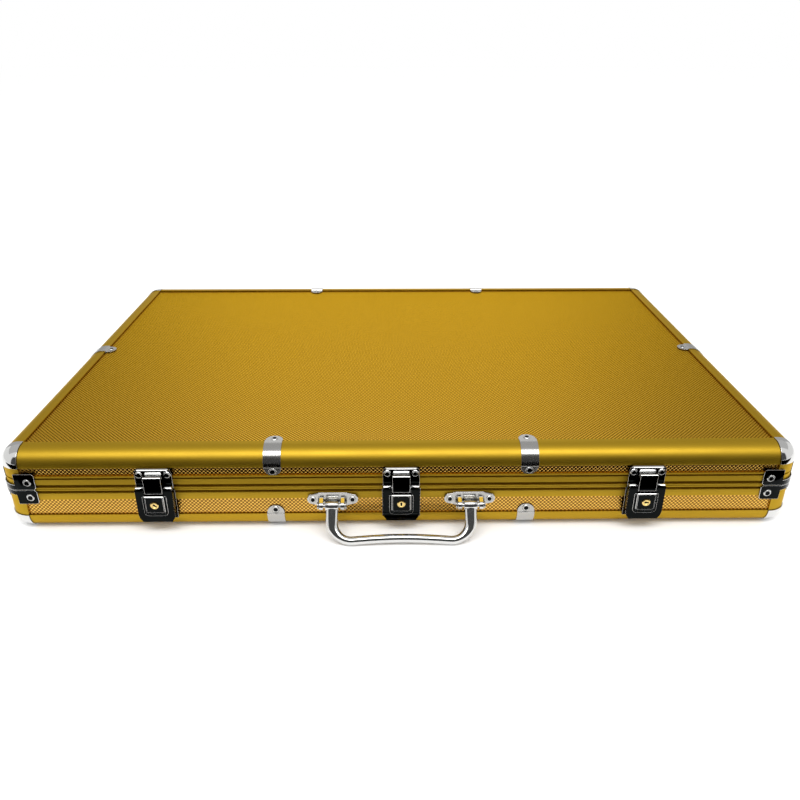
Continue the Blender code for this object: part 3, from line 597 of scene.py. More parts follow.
def rail_outline(steps):
    """Rail outline as (inset, depth): a lip over the board, a flat land and the round."""
    lip = RAIL_INSET - RAIL_LIP
    outline = [(RAIL_INSET, 0.0)]
    outline += arc(RAIL_ROUND, RAIL_ROUND, RAIL_ROUND, -QUARTER, -2 * QUARTER, steps)
    outline += arc(RAIL_ROUND, RAIL_ROUND, RAIL_ROUND - RAIL_SKIN, -2 * QUARTER, -QUARTER, steps // 2)
    outline += [(lip, RAIL_SKIN + FIT / 2), (RAIL_INSET, RAIL_SKIN)]
    return outline


def add_rail(half, side_name):
    """One gold rail."""
    side = SIDES[side_name]
    node = f"{half}_rail_{side_name}"
    length = (HALF_DEPTH if side[0] else HALF_WIDTH) - RAIL_END
    sections = []
    for along in (-length, length):
        outline = rail_outline(sizes().round_steps)
        sections.append([on_side(side, along, inset, drop(half, depth)) for inset, depth in outline])
    body = bmesh.new()
    skin(body, sections)
    piece(f"{half}_{side_name}_rail", body, "satin_gold", half, (node,))


# Straps: half width, depth of the under side in the rail, and the places of the tabs and rivets
STRAP_HALF = 0.0063
STRAP_SUNK = 0.0004
STRAP_BOARD_TAB = 0.0174
STRAP_WALL_TAB = RAIL_ROUND + FIT
STRAP_BOARD_RIVET = 0.0194
STRAP_WALL_RIVET = 0.0163
STRAP_BEND_STEPS = 16


def strap_stations():
    """Stations along a strap: where it lies and its half width."""
    radius = STRAP_HALF
    turns = [math.radians(angle) for angle in (8, 20, 32, 45, 58, 72, 90)]
    stations = []
    for turn in turns:
        reach = STRAP_BOARD_TAB + radius * math.cos(turn)
        stations.append(((reach, RAIL_SKIN), (reach, FIT), radius * math.sin(turn)))
    stations.append(((RAIL_END, RAIL_SKIN), (RAIL_END, FIT), radius))
    stations.append(((RAIL_INSET - FIT, STRAP_SUNK), (RAIL_INSET - FIT, -STRAP_PROUD), radius))
    inner = arc(RAIL_ROUND, RAIL_ROUND, RAIL_ROUND - STRAP_SUNK, -QUARTER, -2 * QUARTER, STRAP_BEND_STEPS)
    outer = arc(RAIL_ROUND, RAIL_ROUND, RAIL_ROUND + STRAP_PROUD, -QUARTER, -2 * QUARTER, STRAP_BEND_STEPS)
    stations += [(near, far, radius) for near, far in zip(inner, outer)]
    for turn in reversed(turns):
        reach = STRAP_WALL_TAB + radius * math.cos(turn) + FIT
        stations.append(((RAIL_SKIN, reach), (FIT, reach), radius * math.sin(turn)))
    return stations


# Ring rivet as shares of its radius and height, from the flange over the raised ring to the sunk middle,
# which takes a painted shade of near-black chrome
RIVET_SHARES = (
    (1.0, 0.25), (0.93, 0.5), (0.86, 0.92), (0.74, 1.0), (0.60, 0.86), (0.52, 0.45), (0.40, 0.34),
    (0.0, 0.52),
)
# Bands of the sunk middle that take the painted shade
RIVET_SHADED_MIDDLE = (5, 6, 7)
RIVET_FOOT = 0.0003
RIVET_HEIGHT = 0.0006


def rivet_profile(radius, height):
    """Ring rivet: a flange, a raised ring and a sunk middle."""
    return [(radius, -RIVET_FOOT)] + [(radius * wide, height * high) for wide, high in RIVET_SHARES]


def add_straps(half, side_name):
    """The clamping straps of one rail, with their rivets."""
    side = SIDES[side_name]
    places = (0.0,) if side[0] else (-STRAP_X, STRAP_X)
    body = bmesh.new()
    rivets = bmesh.new()
    size = sizes().rivet_radius
    board_rivet_share = 0.9
    out_of_board = Vector((0, 0, -HALVES[half]["inward"]))
    out_of_wall = Vector((side[0], side[1], 0))
    for along in places:
        sections = []
        for near, far, reach in strap_stations():
            sections.append(
                [
                    on_side(side, along - reach, near[0], drop(half, near[1])),
                    on_side(side, along + reach, near[0], drop(half, near[1])),
                    on_side(side, along + reach, far[0], drop(half, far[1])),
                    on_side(side, along - reach, far[0], drop(half, far[1])),
                ]
            )
        skin(body, sections)
        flat = on_side(side, along, STRAP_BOARD_RIVET, drop(half, FIT))
        small = rivet_profile(size * board_rivet_share, RIVET_HEIGHT)
        turned(rivets, small, flat, out_of_board, marked=RIVET_SHADED_MIDDLE)
        upright = on_side(side, along, FIT, drop(half, STRAP_WALL_RIVET))
        turned(rivets, rivet_profile(size, RIVET_HEIGHT), upright, out_of_wall, marked=RIVET_SHADED_MIDDLE)
    piece(f"{half}_{side_name}_straps", body, "strap_steel", half, bevel=EDGES["strap"])
    piece(f"{half}_{side_name}_strap_rivets", rivets, "rivet_steel", half, second="dark_chrome")


def corner_point(corner, radius, turn, height):
    """Point round a corner of the plan."""
    x = corner[0] * (HALF_WIDTH - RAIL_INSET) + radius * math.cos(turn)
    y = corner[1] * (HALF_DEPTH - RAIL_INSET) + radius * math.sin(turn)
    return Vector((x, y, height))


def add_corner(half, name):
    """One rounded corner cap with its flat tab over the board."""
    corner = CORNERS[name]
    node = f"{half}_corner_{name}"
    steps = sizes().round_steps
    land = RAIL_INSET - RAIL_ROUND
    thick = 0.0010
    outer = arc(land, RAIL_ROUND, RAIL_ROUND + STRAP_PROUD, -QUARTER, 0, steps)
    inner = arc(land, RAIL_ROUND, RAIL_ROUND + STRAP_PROUD - thick, 0, -QUARTER, steps)
    outline = [(0.0, -STRAP_PROUD)] + outer + inner + [(0.0, FIT)]
    start = math.atan2(corner[1], corner[0]) - QUARTER / 2
    sections = []
    for k in range(steps + 1):
        turn = start + QUARTER * k / steps
        sections.append([corner_point(corner, radius, turn, drop(half, depth)) for radius, depth in outline])
    body = bmesh.new()
    skin(body, sections)
    bmesh.ops.remove_doubles(body, verts=body.verts, dist=MERGE)
    piece(f"{half}_{name}_cap", body, "chrome", half, (node,), EDGES["cap"])


def add_bracket(half, name):
    """One seam bracket, its face set back by the height of its ring rivets."""
    corner = CORNERS[name]
    node = f"{half}_bracket_{name}"
    sunk = 0.0005
    thick = 0.0010
    rivet_rise = 0.0060
    rivet_back = 0.0046
    plate = bmesh.new()
    plate.from_mesh(frame["nodes"][node].data)
    bmesh.ops.remove_doubles(plate, verts=plate.verts, dist=MERGE)
    bmesh.ops.dissolve_limit(plate, angle_limit=FLAT_ANGLE, verts=plate.verts, edges=plate.edges)
    for vert in plate.verts:
        if abs(vert.co.x) > HALF_WIDTH + FIT + sunk:
            vert.co.x -= corner[0] * sunk
        if abs(vert.co.y) > HALF_DEPTH + FIT + sunk:
            vert.co.y -= corner[1] * sunk
    # The bracket's faces carry a painted dark reflection; only their rounded edges are plain chrome
    piece(f"{node}_shell", plate, "dark_chrome", half, (node,), EDGES["bracket"], edge="chrome")
    body = bmesh.new()
    middle = from_seam(half, rivet_rise)
    x = corner[0] * (HALF_WIDTH - RAIL_INSET - rivet_back)
    y = corner[1] * (HALF_DEPTH - RAIL_INSET - rivet_back)
    proud = FIT + thick - sunk
    size = sizes().rivet_radius
    for place, way in (
        ((x, corner[1] * (HALF_DEPTH + proud), middle), (0, corner[1], 0)),
        ((corner[0] * (HALF_WIDTH + proud), y, middle), (corner[0], 0, 0)),
    ):
        turned(body, rivet_profile(size, sunk), place, way, marked=RIVET_SHADED_MIDDLE)
    piece(f"{half}_{name}_bracket_rivets", body, "rivet_steel", half, second="dark_chrome")


# Closing frame: where each bright band starts and ends, measured from the seam, and where the strips end
FRAME_BANDS = {
    "base": ((0.0, 0.00105), (0.00325, 0.0074)),
    "lid": ((0.0, 0.00105), (0.0035, 0.0077), (0.00905, 0.0103)),
}
FRAME_ENDS = {"base": 0.0089, "lid": 0.0103}


def add_frame(half):
    """Closing frame: bright bands between deep grooves along the sides, painted shade in a darker gold on the
    groove floors, and a plain post at each corner.
    """
    groove = 0.0011
    back = 0.00125
    foot = 0.0006
    web_low = 0.0020
    web_high = 0.0080
    web_outer = 0.0056
    web_inner = 0.0066
    steps = 12
    end = FRAME_ENDS[half]
    to_cap = abs(HALVES[half]["seam"] - drop(half, RAIL_ROUND + FIT))
    straight = []
    rounded = []
    grooves = []
    bands = FRAME_BANDS[half]
    for number, (low, high) in enumerate(bands):
        straight += [(0.0, low), (0.0, high)]
        rounded += [(0.0, low), (0.0, high)]
        if number + 1 < len(bands):
            # The groove floors take the painted shade
            grooves.append(len(straight))
            straight += [(groove, high), (groove, bands[number + 1][0])]
            rounded += [(0.0, high), (0.0, bands[number + 1][0])]
    straight += [(foot, end), (back, end)]
    rounded += [(0.0, to_cap), (back, to_cap)]
    web = [
        (back, web_low), (web_outer, web_low), (web_outer, web_high), (web_inner, web_high), (web_inner, 0.0),
    ]
    body = bmesh.new()
    sections = []
    for corner in CORNERS.values():
        start = math.atan2(corner[1], corner[0]) - QUARTER / 2
        turns = [start + QUARTER * k / steps for k in range(steps + 1)]
        stations = [(turns[0], straight)] + [(turn, rounded) for turn in turns] + [(turns[-1], straight)]
        for turn, outline in stations:
            section = []
            for inset, rise in outline + web:
                section.append(corner_point(corner, RAIL_INSET - inset, turn, from_seam(half, rise)))
            sections.append(section)
    skin(body, sections, ring=True, marked=grooves)
    bmesh.ops.remove_doubles(body, verts=body.verts, dist=MERGE)
    node = f"{half}_frame"
    finished = EDGES["frame"]
    # Gold bands, with painted shade on the groove floors
    piece(f"{half}_closing_frame", body, "satin_gold", half, (node,), finished, second="dark_gold")


def before(x, distance, height):
    """Point in front of the front face."""
    return Vector((x, -HALF_DEPTH - distance, height))


def slab(body, outline, steps):
    """A plate on an (x, z) outline through steps of (distance in front, inset)."""
    sections = []
    for distance, inset in steps:
        sections.append([before(x, distance, z) for x, z in shrunk(outline, inset)])
    skin(body, sections)


def shrunk(outline, inset):
    """A convex outline moved in by a distance."""
    if not inset:
        return outline
    moved = []
    count = len(outline)
    flattest = 0.3
    for index in range(count):
        here = Vector(outline[index])
        before_it = (here - Vector(outline[index - 1])).normalized()
        after_it = (Vector(outline[(index + 1) % count]) - here).normalized()
        inward = Vector((-before_it.y - after_it.y, before_it.x + after_it.x))
        scale = inset / max(flattest, inward.length / 2)
        moved.append(tuple(here + inward.normalized() * scale))
    return moved


def rounded_box(x, half, low, high, foot, head, steps=5):
    """An upright rectangle with its lower and upper corners rounded, counterclockwise from the front."""
    outline = []
    for sign, z, radius, start in (
        (1, low + foot, foot, -QUARTER), (1, high - head, head, 0), (-1, high - head, head, QUARTER),
        (-1, low + foot, foot, 2 * QUARTER),
    ):
        outline += arc(x + sign * (half - radius), z, radius, start, start + QUARTER, steps)
    return outline


def side_bar(body, outline, low, high, marked=()):
    """A bar along X on an outline of (distance in front, z) points."""
    skin(body, [[before(x, distance, z) for distance, z in outline] for x in (low, high)], marked=marked)


# Keeper: its plates by half width, lower and upper edge above the table and rounds of their corners, its
# distances in front of the front face, and its lip as (distance in front, height)
KEEPER_PLATE = {"half": 0.0131, "low": 0.0366, "high": 0.0522, "foot": 0.0006, "head": 0.0028}
KEEPER_CATCH = {"half": 0.0060, "low": 0.0447, "high": 0.0458, "foot": 0.0002, "head": 0.0002}
KEEPER_BOSS = {"half": 0.0062, "low": 0.0468, "high": 0.0498, "foot": 0.0012, "head": 0.0012}
KEEPER_BED = 0.0010
KEEPER_FACE = 0.0013
KEEPER_FRONT = 0.0021
KEEPER_LIP = (
    (0.0006, 0.0508), (0.0018, 0.0511), (0.0021, 0.0514), (0.0021, 0.0517), (0.0018, 0.0520),
    (0.0006, 0.0524),
)


def add_keeper(name, x):
    """Keeper on the lid: a plate with rounded upper corners, a boss, the catch, a lip and two rivets."""
    node = f"latch_keeper_{name}"
    boss_slope = 0.0009
    lip_half = 0.0108
    rivet_out = 0.0099
    rivet_height = 0.0478
    body = bmesh.new()
    slab(body, rounded_box(x, **KEEPER_PLATE), ((FIT, 0.0), (KEEPER_FACE, 0.0)))
    slab(body, rounded_box(x, **KEEPER_CATCH), ((KEEPER_BED, 0.0), (KEEPER_FRONT, 0.0)))
    finished = EDGES["keeper"]
    # Painted dark reflection on the keeper's faces, plain chrome on their rounded edges
    piece(f"latch_{name}_keeper", body, "dark_chrome", "lid", (node,), finished, edge="chrome")
    raised = bmesh.new()
    slab(raised, rounded_box(x, **KEEPER_BOSS), ((KEEPER_BED, 0.0), (KEEPER_FRONT, boss_slope)))
    side_bar(raised, KEEPER_LIP, x - lip_half, x + lip_half)
    piece(f"latch_{name}_keeper_lip", raised, "chrome", "lid", bevel=EDGES["lip"])
    rivets = bmesh.new()
    profile = rivet_profile(radius=0.0026, height=0.0007)
    for sign in (-1, 1):
        place = before(x + sign * rivet_out, KEEPER_FACE, rivet_height)
        turned(rivets, profile, place, (0, -1, 0), marked=RIVET_SHADED_MIDDLE)
    piece(f"latch_{name}_keeper_rivets", rivets, "chrome", "lid", second="dark_chrome")


# Lever: its fulcrum, the rolled shoulders on it, and the raised plates by half width, edges and rounds
FULCRUM_FRONT = 0.0034
FULCRUM_HEIGHT = 0.0373
SHOULDER_NEAR = 0.0071
SHOULDER_FAR = 0.0128
SHOULDER_RADIUS = 0.0021
SHOULDER_EDGE = 0.0002
HOUSING_LINE = {"half": 0.0069, "low": 0.0192, "high": 0.0331, "foot": 0.0016, "head": 0.0004, "steps": 6}
HOUSING_FACE = {"half": 0.0062, "low": 0.0199, "high": 0.0325, "foot": 0.0011, "head": 0.0003, "steps": 6}
LEVER_PANEL = {"half": 0.0086, "low": 0.0163, "high": 0.0326, "foot": 0.0034, "head": 0.0004, "steps": 8}


def add_lever(name, x):
    """Lever: the pressed plate, its rolled shoulders, its raised panel and the lock's housing."""
    node = f"latch_lever_{name}"
    rides_on = f"lever_{name}"
    bed = 0.0057
    panel_front = 0.0062
    line_front = 0.0071
    line_edge = 0.0002
    face_bed = 0.0067
    face_front = 0.0074
    # Painted dark reflection on the lever's faces, plain chrome on their rounded edges
    dress(node, "dark_chrome", EDGES["lever"], edge="chrome")
    body = bmesh.new()
    for sign in (-1, 1):
        ends = sorted((x + sign * SHOULDER_NEAR, x + sign * SHOULDER_FAR))
        waist = SHOULDER_RADIUS - SHOULDER_EDGE
        profile = [(0.0, 0.0), (waist, 0.0), (SHOULDER_RADIUS, SHOULDER_EDGE)]
        length = ends[1] - ends[0]
        profile += [(SHOULDER_RADIUS, length - SHOULDER_EDGE), (waist, length), (0.0, length)]
        turned(body, profile, before(ends[0], FULCRUM_FRONT, FULCRUM_HEIGHT), (1, 0, 0), 24)
    line_steps = ((bed, 0.0), (line_front - line_edge, 0.0), (line_front, line_edge))
    slab(body, rounded_box(x, **HOUSING_LINE), line_steps)
    piece(f"latch_{name}_lever_trim", body, "chrome", rides_on)
    panel = bmesh.new()
    slab(panel, rounded_box(x, **LEVER_PANEL), ((bed, 0.0), (panel_front, 0.0)))
    slab(panel, rounded_box(x, **HOUSING_FACE), ((face_bed, 0.0), (face_front, 0.0)))
    finished = EDGES["housing"]
    # Painted dark reflection on the panel and housing faces, plain chrome on their rounded edges
    piece(f"latch_{name}_housing", panel, "dark_chrome", rides_on, bevel=finished, edge="chrome")


# Lock: its height, its cylinder as (radius, distance in front), its key slot, and the turn of each slot
LOCK_HEIGHT = 0.0262
LOCK_PROFILE = (
    (0.0029, 0.0034), (0.0029, 0.0078), (0.0026, 0.0080), (0.0020, 0.0080), (0.0018, 0.0078), (0.0, 0.0078),
)
KEY_EYE_RADIUS = 0.0008
KEY_EYE_RISE = 0.0006
KEY_SLOT_HALF = 0.00038
KEY_SLOT_FOOT = 0.0019
KEY_SLOT_DEPTHS = (0.0066, 0.0090)
KEY_TURNS = {"left": 0.9, "centre": 0.0, "right": QUARTER}


def add_lock(name, x):
    """Lock cylinder with a raised rim and its key slot; the slots of the three locks stand at different
    turns."""
    node = f"latch_lock_{name}"
    rides_on = f"lock_{name}"
    middle = before(x, 0.0, LOCK_HEIGHT)
    body = bmesh.new()
    turned(body, LOCK_PROFILE, middle, (0, -1, 0), 36)
    made = piece(f"latch_{name}_lock", body, "brass", rides_on, (node,))
    slot = bmesh.new()
    outline = arc(0.0, KEY_EYE_RISE, KEY_EYE_RADIUS, -0.25 * QUARTER, 2.25 * QUARTER, 10)
    outline += [(-KEY_SLOT_HALF, -KEY_SLOT_FOOT), (KEY_SLOT_HALF, -KEY_SLOT_FOOT)]
    turn = KEY_TURNS[name]
    placed = [
        (a * math.cos(turn) - b * math.sin(turn) + x, a * math.sin(turn) + b * math.cos(turn) + LOCK_HEIGHT)
        for a, b in outline
    ]
    skin(slot, [[before(a, distance, b) for a, b in placed] for distance in KEY_SLOT_DEPTHS])
    bmesh.ops.recalc_face_normals(slot, faces=slot.faces)
    mesh = bpy.data.meshes.new("key_slot")
    slot.to_mesh(mesh)
    slot.free()
    # The key slot's walls take painted shade, near-black chrome carried onto the cut faces
    mesh.materials.append(look_named("dark_chrome"))
    cutter = bpy.data.objects.new("key_slot", mesh)
    bpy.context.scene.collection.objects.link(cutter)
    cut = made.modifiers.new("key_slot", "BOOLEAN")
    cut.operation = "DIFFERENCE"
    cut.solver = "EXACT"
    cut.object = cutter
    cut.material_mode = "TRANSFER"
    view = bpy.context.evaluated_depsgraph_get()
    baked = bpy.data.meshes.new_from_object(made.evaluated_get(view))
    made.modifiers.clear()
    made.data = baked
    bpy.data.objects.remove(cutter, do_unlink=True)


# Hook: its outline as (distance in front, height) below the bend and from the bend on, and its barrel
HOOK_HALF = 0.0063
HOOK_SHANK = ((0.0050, 0.0345), (0.0060, 0.0345))
HOOK_BEND = (0.0047, 0.0466, 0.0013)
HOOK_CLAW = ((0.0024, 0.0479), (0.0024, 0.0462), (0.0034, 0.0462), (0.0034, 0.0469), (0.0046, 0.0469))
HOOK_INNER = (0.0050, 0.0465)
# Faces of the bend that stay plain chrome while the rest of the hook carries a painted dark reflection
HOOK_BRIGHT = tuple(range(4, 9))
BARREL_RADIUS = 0.0012
BARREL_FRONT = 0.0043
BARREL_HEIGHT = 0.0352


def add_hook(name, x):
    """Hook: a plate that bends back over the top and down behind the keeper's catch."""
    node = f"latch_hook_{name}"
    outline = [*HOOK_SHANK, *arc(*HOOK_BEND, 0, QUARTER, 6), *HOOK_CLAW, HOOK_INNER]
    body = bmesh.new()
    side_bar(body, outline, x - HOOK_HALF, x + HOOK_HALF, marked=HOOK_BRIGHT)
    length = 2 * HOOK_HALF
    barrel = [(0.0, 0.0), (BARREL_RADIUS, 0.0), (BARREL_RADIUS, length), (0.0, length)]
    turned(body, barrel, before(x - HOOK_HALF, BARREL_FRONT, BARREL_HEIGHT), (1, 0, 0), 16)
    finished = EDGES["hook"]
    # Painted dark reflection on the hook, plain chrome on its bend and rounded edges
    piece(f"latch_{name}_hook", body, "dark_chrome", f"hook_{name}", (node,), finished, edge="chrome")


# Handle: its pivot as (distance in front, height), its reach and hang, the legs and the grip
HANDLE_PIVOT = (0.0057, 0.0239)
HANDLE_REACH = 0.0249
HANDLE_HANG = 0.0202
HANDLE_LEG = 0.0496
HANDLE_CORNER = 0.0140
LEG_WIDE = 0.0044
LEG_DEEP = 0.0032
EYE_WIDE = 0.0046
GRIP_WIDE = 0.0031
GRIP_DEEP = 0.0030
GRIP_BOW = 0.0017
LEG_STARTS = ((0.0012, EYE_WIDE, 0.0028), (0.0050, EYE_WIDE, 0.0030))
EYE_HALF = 0.0047
EYE_PROFILE = (
    (0.0021, 0.0), (0.0033, 0.0), (0.0036, 0.0003), (0.0036, 0.0091), (0.0033, 0.0094), (0.0021, 0.0094),
)
CORNER_STEPS = 12
GRIP_STEPS = 16
GRIP_SIDES = 28
NARROWING = 1.4


def handle_path():
    """The handle's middle line: place along the case, reach from the pivot, half width and half depth."""
    inner = HANDLE_LEG - HANDLE_CORNER
    bend = HANDLE_REACH - HANDLE_CORNER
    path = [(HANDLE_LEG, *start) for start in LEG_STARTS]
    path.append((HANDLE_LEG, bend, LEG_WIDE, LEG_DEEP))
    for k in range(1, CORNER_STEPS + 1):
        turn = QUARTER * k / CORNER_STEPS
        share = k / CORNER_STEPS
        wide = LEG_WIDE + (GRIP_WIDE - LEG_WIDE) * min(1.0, share * NARROWING)
        deep = LEG_DEEP + (GRIP_DEEP - LEG_DEEP) * share
        x = inner + HANDLE_CORNER * math.cos(turn)
        reach = bend + HANDLE_CORNER * math.sin(turn)
        path.append((x, reach, wide, deep))
    for k in range(1, GRIP_STEPS + 1):
        share = k / GRIP_STEPS
        bow = GRIP_BOW * math.sin(share * QUARTER)
        path.append((inner * (1 - share), HANDLE_REACH - bow, GRIP_WIDE, GRIP_DEEP))
    return path + [(-x, reach, wide, deep) for x, reach, wide, deep in reversed(path[:-1])]


def add_handle():
    """Carrying handle: broad legs with eyes round the pins, and a slightly bowed round grip."""
    front, height = HANDLE_PIVOT
    swing = math.asin(HANDLE_HANG / HANDLE_REACH)
    path = handle_path()

    def spot(x, reach):
        return before(x, front + reach * math.cos(swing), height - reach * math.sin(swing))

    normal = Vector((0, math.sin(swing), -math.cos(swing)))
    sections = []
    for index, (x, reach, wide, deep) in enumerate(path):
        here = spot(x, reach)
        ahead = spot(*path[min(index + 1, len(path) - 1)][:2])
        behind = spot(*path[max(index - 1, 0)][:2])
        across = normal.cross((ahead - behind).normalized())
        ring = []
        for k in range(GRIP_SIDES):
            turn = 2 * math.pi * k / GRIP_SIDES
            ring.append(here + across * (wide * math.cos(turn)) + normal * (deep * math.sin(turn)))
        sections.append(ring)
    body = bmesh.new()
    skin(body, sections)
    for sign in (-1, 1):
        turned(body, EYE_PROFILE, before(sign * HANDLE_LEG - EYE_HALF, front, height), (1, 0, 0), 32)
    piece("carrying_handle", body, "chrome", "handle", ("handle",), smooth_angle=50)


# Bracket of the handle: its middle, its round ends, the rounds of its broad middle, its lugs and screws
BRACKET_MIDDLE = 0.0492
BRACKET_HEIGHT = 0.0267
BRACKET_FACE = 0.0020
END_OUT = 0.0139
END_RADIUS = 0.0045
END_TURN = 0.9
WAIST_OUT = 0.0096
WAIST_RISE = 0.0037
WAIST_RADIUS = 0.0018
LUG_ENDS = ((0.0404, 0.0435), (0.0557, 0.0588))
LUG_RADIUS = 0.0032
LUG_FOOT = (0.0006, 0.0207)
LUG_HEAD = (0.0006, 0.0295)
SCREW_OUT = 0.0142
SCREW_RADIUS = 0.0025


def add_handle_bracket(name, sign):
    """Bracket of the handle: a thick plate with round ends and a broader middle, two lugs and two screws."""
    node = f"handle_bracket_{name}"
    x = sign * BRACKET_MIDDLE
    z = BRACKET_HEIGHT
    outline = []
    for out, rise, radius, first, last in (
        (END_OUT, 0, END_RADIUS, -END_TURN, END_TURN),
        (WAIST_OUT, WAIST_RISE, WAIST_RADIUS, END_TURN, QUARTER),
        (-WAIST_OUT, WAIST_RISE, WAIST_RADIUS, QUARTER, 2 * QUARTER - END_TURN),
        (-END_OUT, 0, END_RADIUS, 2 * QUARTER - END_TURN, 2 * QUARTER + END_TURN),
        (-WAIST_OUT, -WAIST_RISE, WAIST_RADIUS, 2 * QUARTER + END_TURN, 3 * QUARTER),
        (WAIST_OUT, -WAIST_RISE, WAIST_RADIUS, 3 * QUARTER, 4 * QUARTER - END_TURN),
    ):
        outline += arc(x + out, z + rise, radius, first, last, 5)
    body = bmesh.new()
    slab(body, outline, ((FIT, 0.0), (BRACKET_FACE, 0.0)))
    finished = EDGES["handle_bracket"]
    piece(f"handle_{name}_bracket", body, "strap_steel", "base", (node,), finished, edge="chrome")
    lugs = bmesh.new()
    for near, far in LUG_ENDS:
        low, high = sorted((sign * near, sign * far))
        lug = [LUG_FOOT, *arc(*HANDLE_PIVOT, LUG_RADIUS, -QUARTER, QUARTER, 12), LUG_HEAD]
        side_bar(lugs, lug, low, high)
    piece(f"handle_{name}_bracket_lugs", lugs, "chrome", "base", bevel=EDGES["lugs"])
    screws = bmesh.new()
    for way in (-1, 1):
        place = before(x + way * SCREW_OUT, BRACKET_FACE, z)
        turned(screws, rivet_profile(SCREW_RADIUS, RIVET_HEIGHT), place, (0, -1, 0), marked=RIVET_SHADED_MIDDLE)
    piece(f"handle_{name}_bracket_screws", screws, "rivet_steel", "base", second="dark_chrome")


def add_foam():
    """Lid pad: a foam sheet with rows of bumps, thin along its edges."""
    low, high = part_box("lid_pad")
    pitch = sizes().foam_pitch
    across = 9
    mean_share = 0.52
    wave_share = 0.47
    rim_share = 0.35
    thinnest = 0.0012
    columns = round((high[0] - low[0]) / pitch)
    rows = round((high[1] - low[1]) / pitch)
    count_x = columns * across
    count_y = rows * across
    deep = high[2] - low[2]
    body = bmesh.new()
    grid = []
    for j in range(count_y + 1):
        line = []
        for i in range(count_x + 1):
            u = i / count_x
            v = j / count_y
            wave = math.cos(2 * math.pi * columns * (u - 0.5)) * math.cos(2 * math.pi * rows * (v - 0.5))
            rim = min(u * columns, (1 - u) * columns, v * rows, (1 - v) * rows)
            swell = min(1.0, rim * 2.0)
            swell = swell * swell * (3 - 2 * swell)
            sag = deep * (mean_share + wave_share * wave) * (rim_share + (1 - rim_share) * swell)
            x = low[0] + (high[0] - low[0]) * u
            y = low[1] + (high[1] - low[1]) * v
            line.append(body.verts.new((x, y, high[2] - max(thinnest, sag))))
        grid.append(line)
    for j in range(count_y):
        for i in range(count_x):
            body.faces.new((grid[j][i], grid[j][i + 1], grid[j + 1][i + 1], grid[j + 1][i]))
    rim = [grid[0][i] for i in range(count_x + 1)]
    rim += [grid[j][count_x] for j in range(1, count_y + 1)]
    rim += [grid[count_y][i] for i in range(count_x - 1, -1, -1)]
    rim += [grid[j][0] for j in range(count_y - 1, 0, -1)]
    backs = [body.verts.new((corner.co.x, corner.co.y, high[2])) for corner in rim]
    for k in range(len(rim)):
        after = (k + 1) % len(rim)
        body.faces.new((rim[k], backs[k], backs[after], rim[after]))
    body.faces.new(list(reversed(backs)))
    pad = piece("lid_foam_pad", body, "lid_foam", "lid", ("lid_pad",), smooth_angle=60)


# Operators


class CASE_OT_boards(Operator):
    """Patterned boards of the top, bottom and walls"""

    bl_idname = "chip_case.boards"
    bl_label = "Boards"

    def execute(self, context):
        for node in ("lid_top_board", "base_bottom_board", "lid_walls", "base_walls"):
            dress(node, "patterned_board", EDGES["board"], segments=1)
        return {"FINISHED"}


class CASE_OT_rails(Operator):
    """Gold rails, their straps and rivets, and the corner caps"""

    bl_idname = "chip_case.rails"
    bl_label = "Rails, straps and caps"

    def execute(self, context):
        for half in HALVES:
            for side_name in SIDES:
                add_rail(half, side_name)
                add_straps(half, side_name)
            for name in CORNERS:
                add_corner(half, name)
        return {"FINISHED"}


class CASE_OT_frames(Operator):
    """Grooved closing frames and their corner brackets"""

    bl_idname = "chip_case.frames"
    bl_label = "Closing frames and brackets"

    def execute(self, context):
        for half in HALVES:
            add_frame(half)
            for name in CORNERS:
                add_bracket(half, name)
        return {"FINISHED"}


class CASE_OT_latches(Operator):
    """Latches: base plate, lever, hook, lock cylinder and keeper"""

    bl_idname = "chip_case.latches"
    bl_label = "Latches"

    def execute(self, context):
        for name, x in LATCHES.items():
            # Painted dark reflection on the latch plate, plain chrome on its rounded edges
            dress(f"latch_plate_{name}", "dark_chrome", EDGES["latch_plate"], edge="chrome")
            add_lever(name, x)
            add_hook(name, x)
            add_lock(name, x)
            add_keeper(name, x)
        return {"FINISHED"}


class CASE_OT_handle(Operator):
    """Carrying handle with its brackets and pins"""

    bl_idname = "chip_case.handle"
    bl_label = "Handle"

    def execute(self, context):
        add_handle()
        for name, sign in (("left", -1), ("right", 1)):
            add_handle_bracket(name, sign)
            dress(f"handle_pin_{name}", "rivet_steel")
        return {"FINISHED"}


class CASE_OT_hinges(Operator):
    """Rear hinges"""

    bl_idname = "chip_case.hinges"
    bl_label = "Hinges"

    def execute(self, context):
        for name in ("left", "right"):
            dress(f"hinge_base_leaf_{name}", "chrome")
            dress(f"hinge_lid_leaf_{name}", "chrome")
            dress(f"hinge_pin_{name}", "rivet_steel")
        return {"FINISHED"}


class CASE_OT_inside(Operator):
    """Flocked trays and the foam in the lid"""

    bl_idname = "chip_case.inside"
    bl_label = "Trays and lid foam"

    def execute(self, context):
        for node in ("chip_tray_left", "chip_tray_right", "centre_tray"):
            dress(node, "flock", EDGES["tray"], segments=3, smooth_angle=40)
        add_foam()
        return {"FINISHED"}


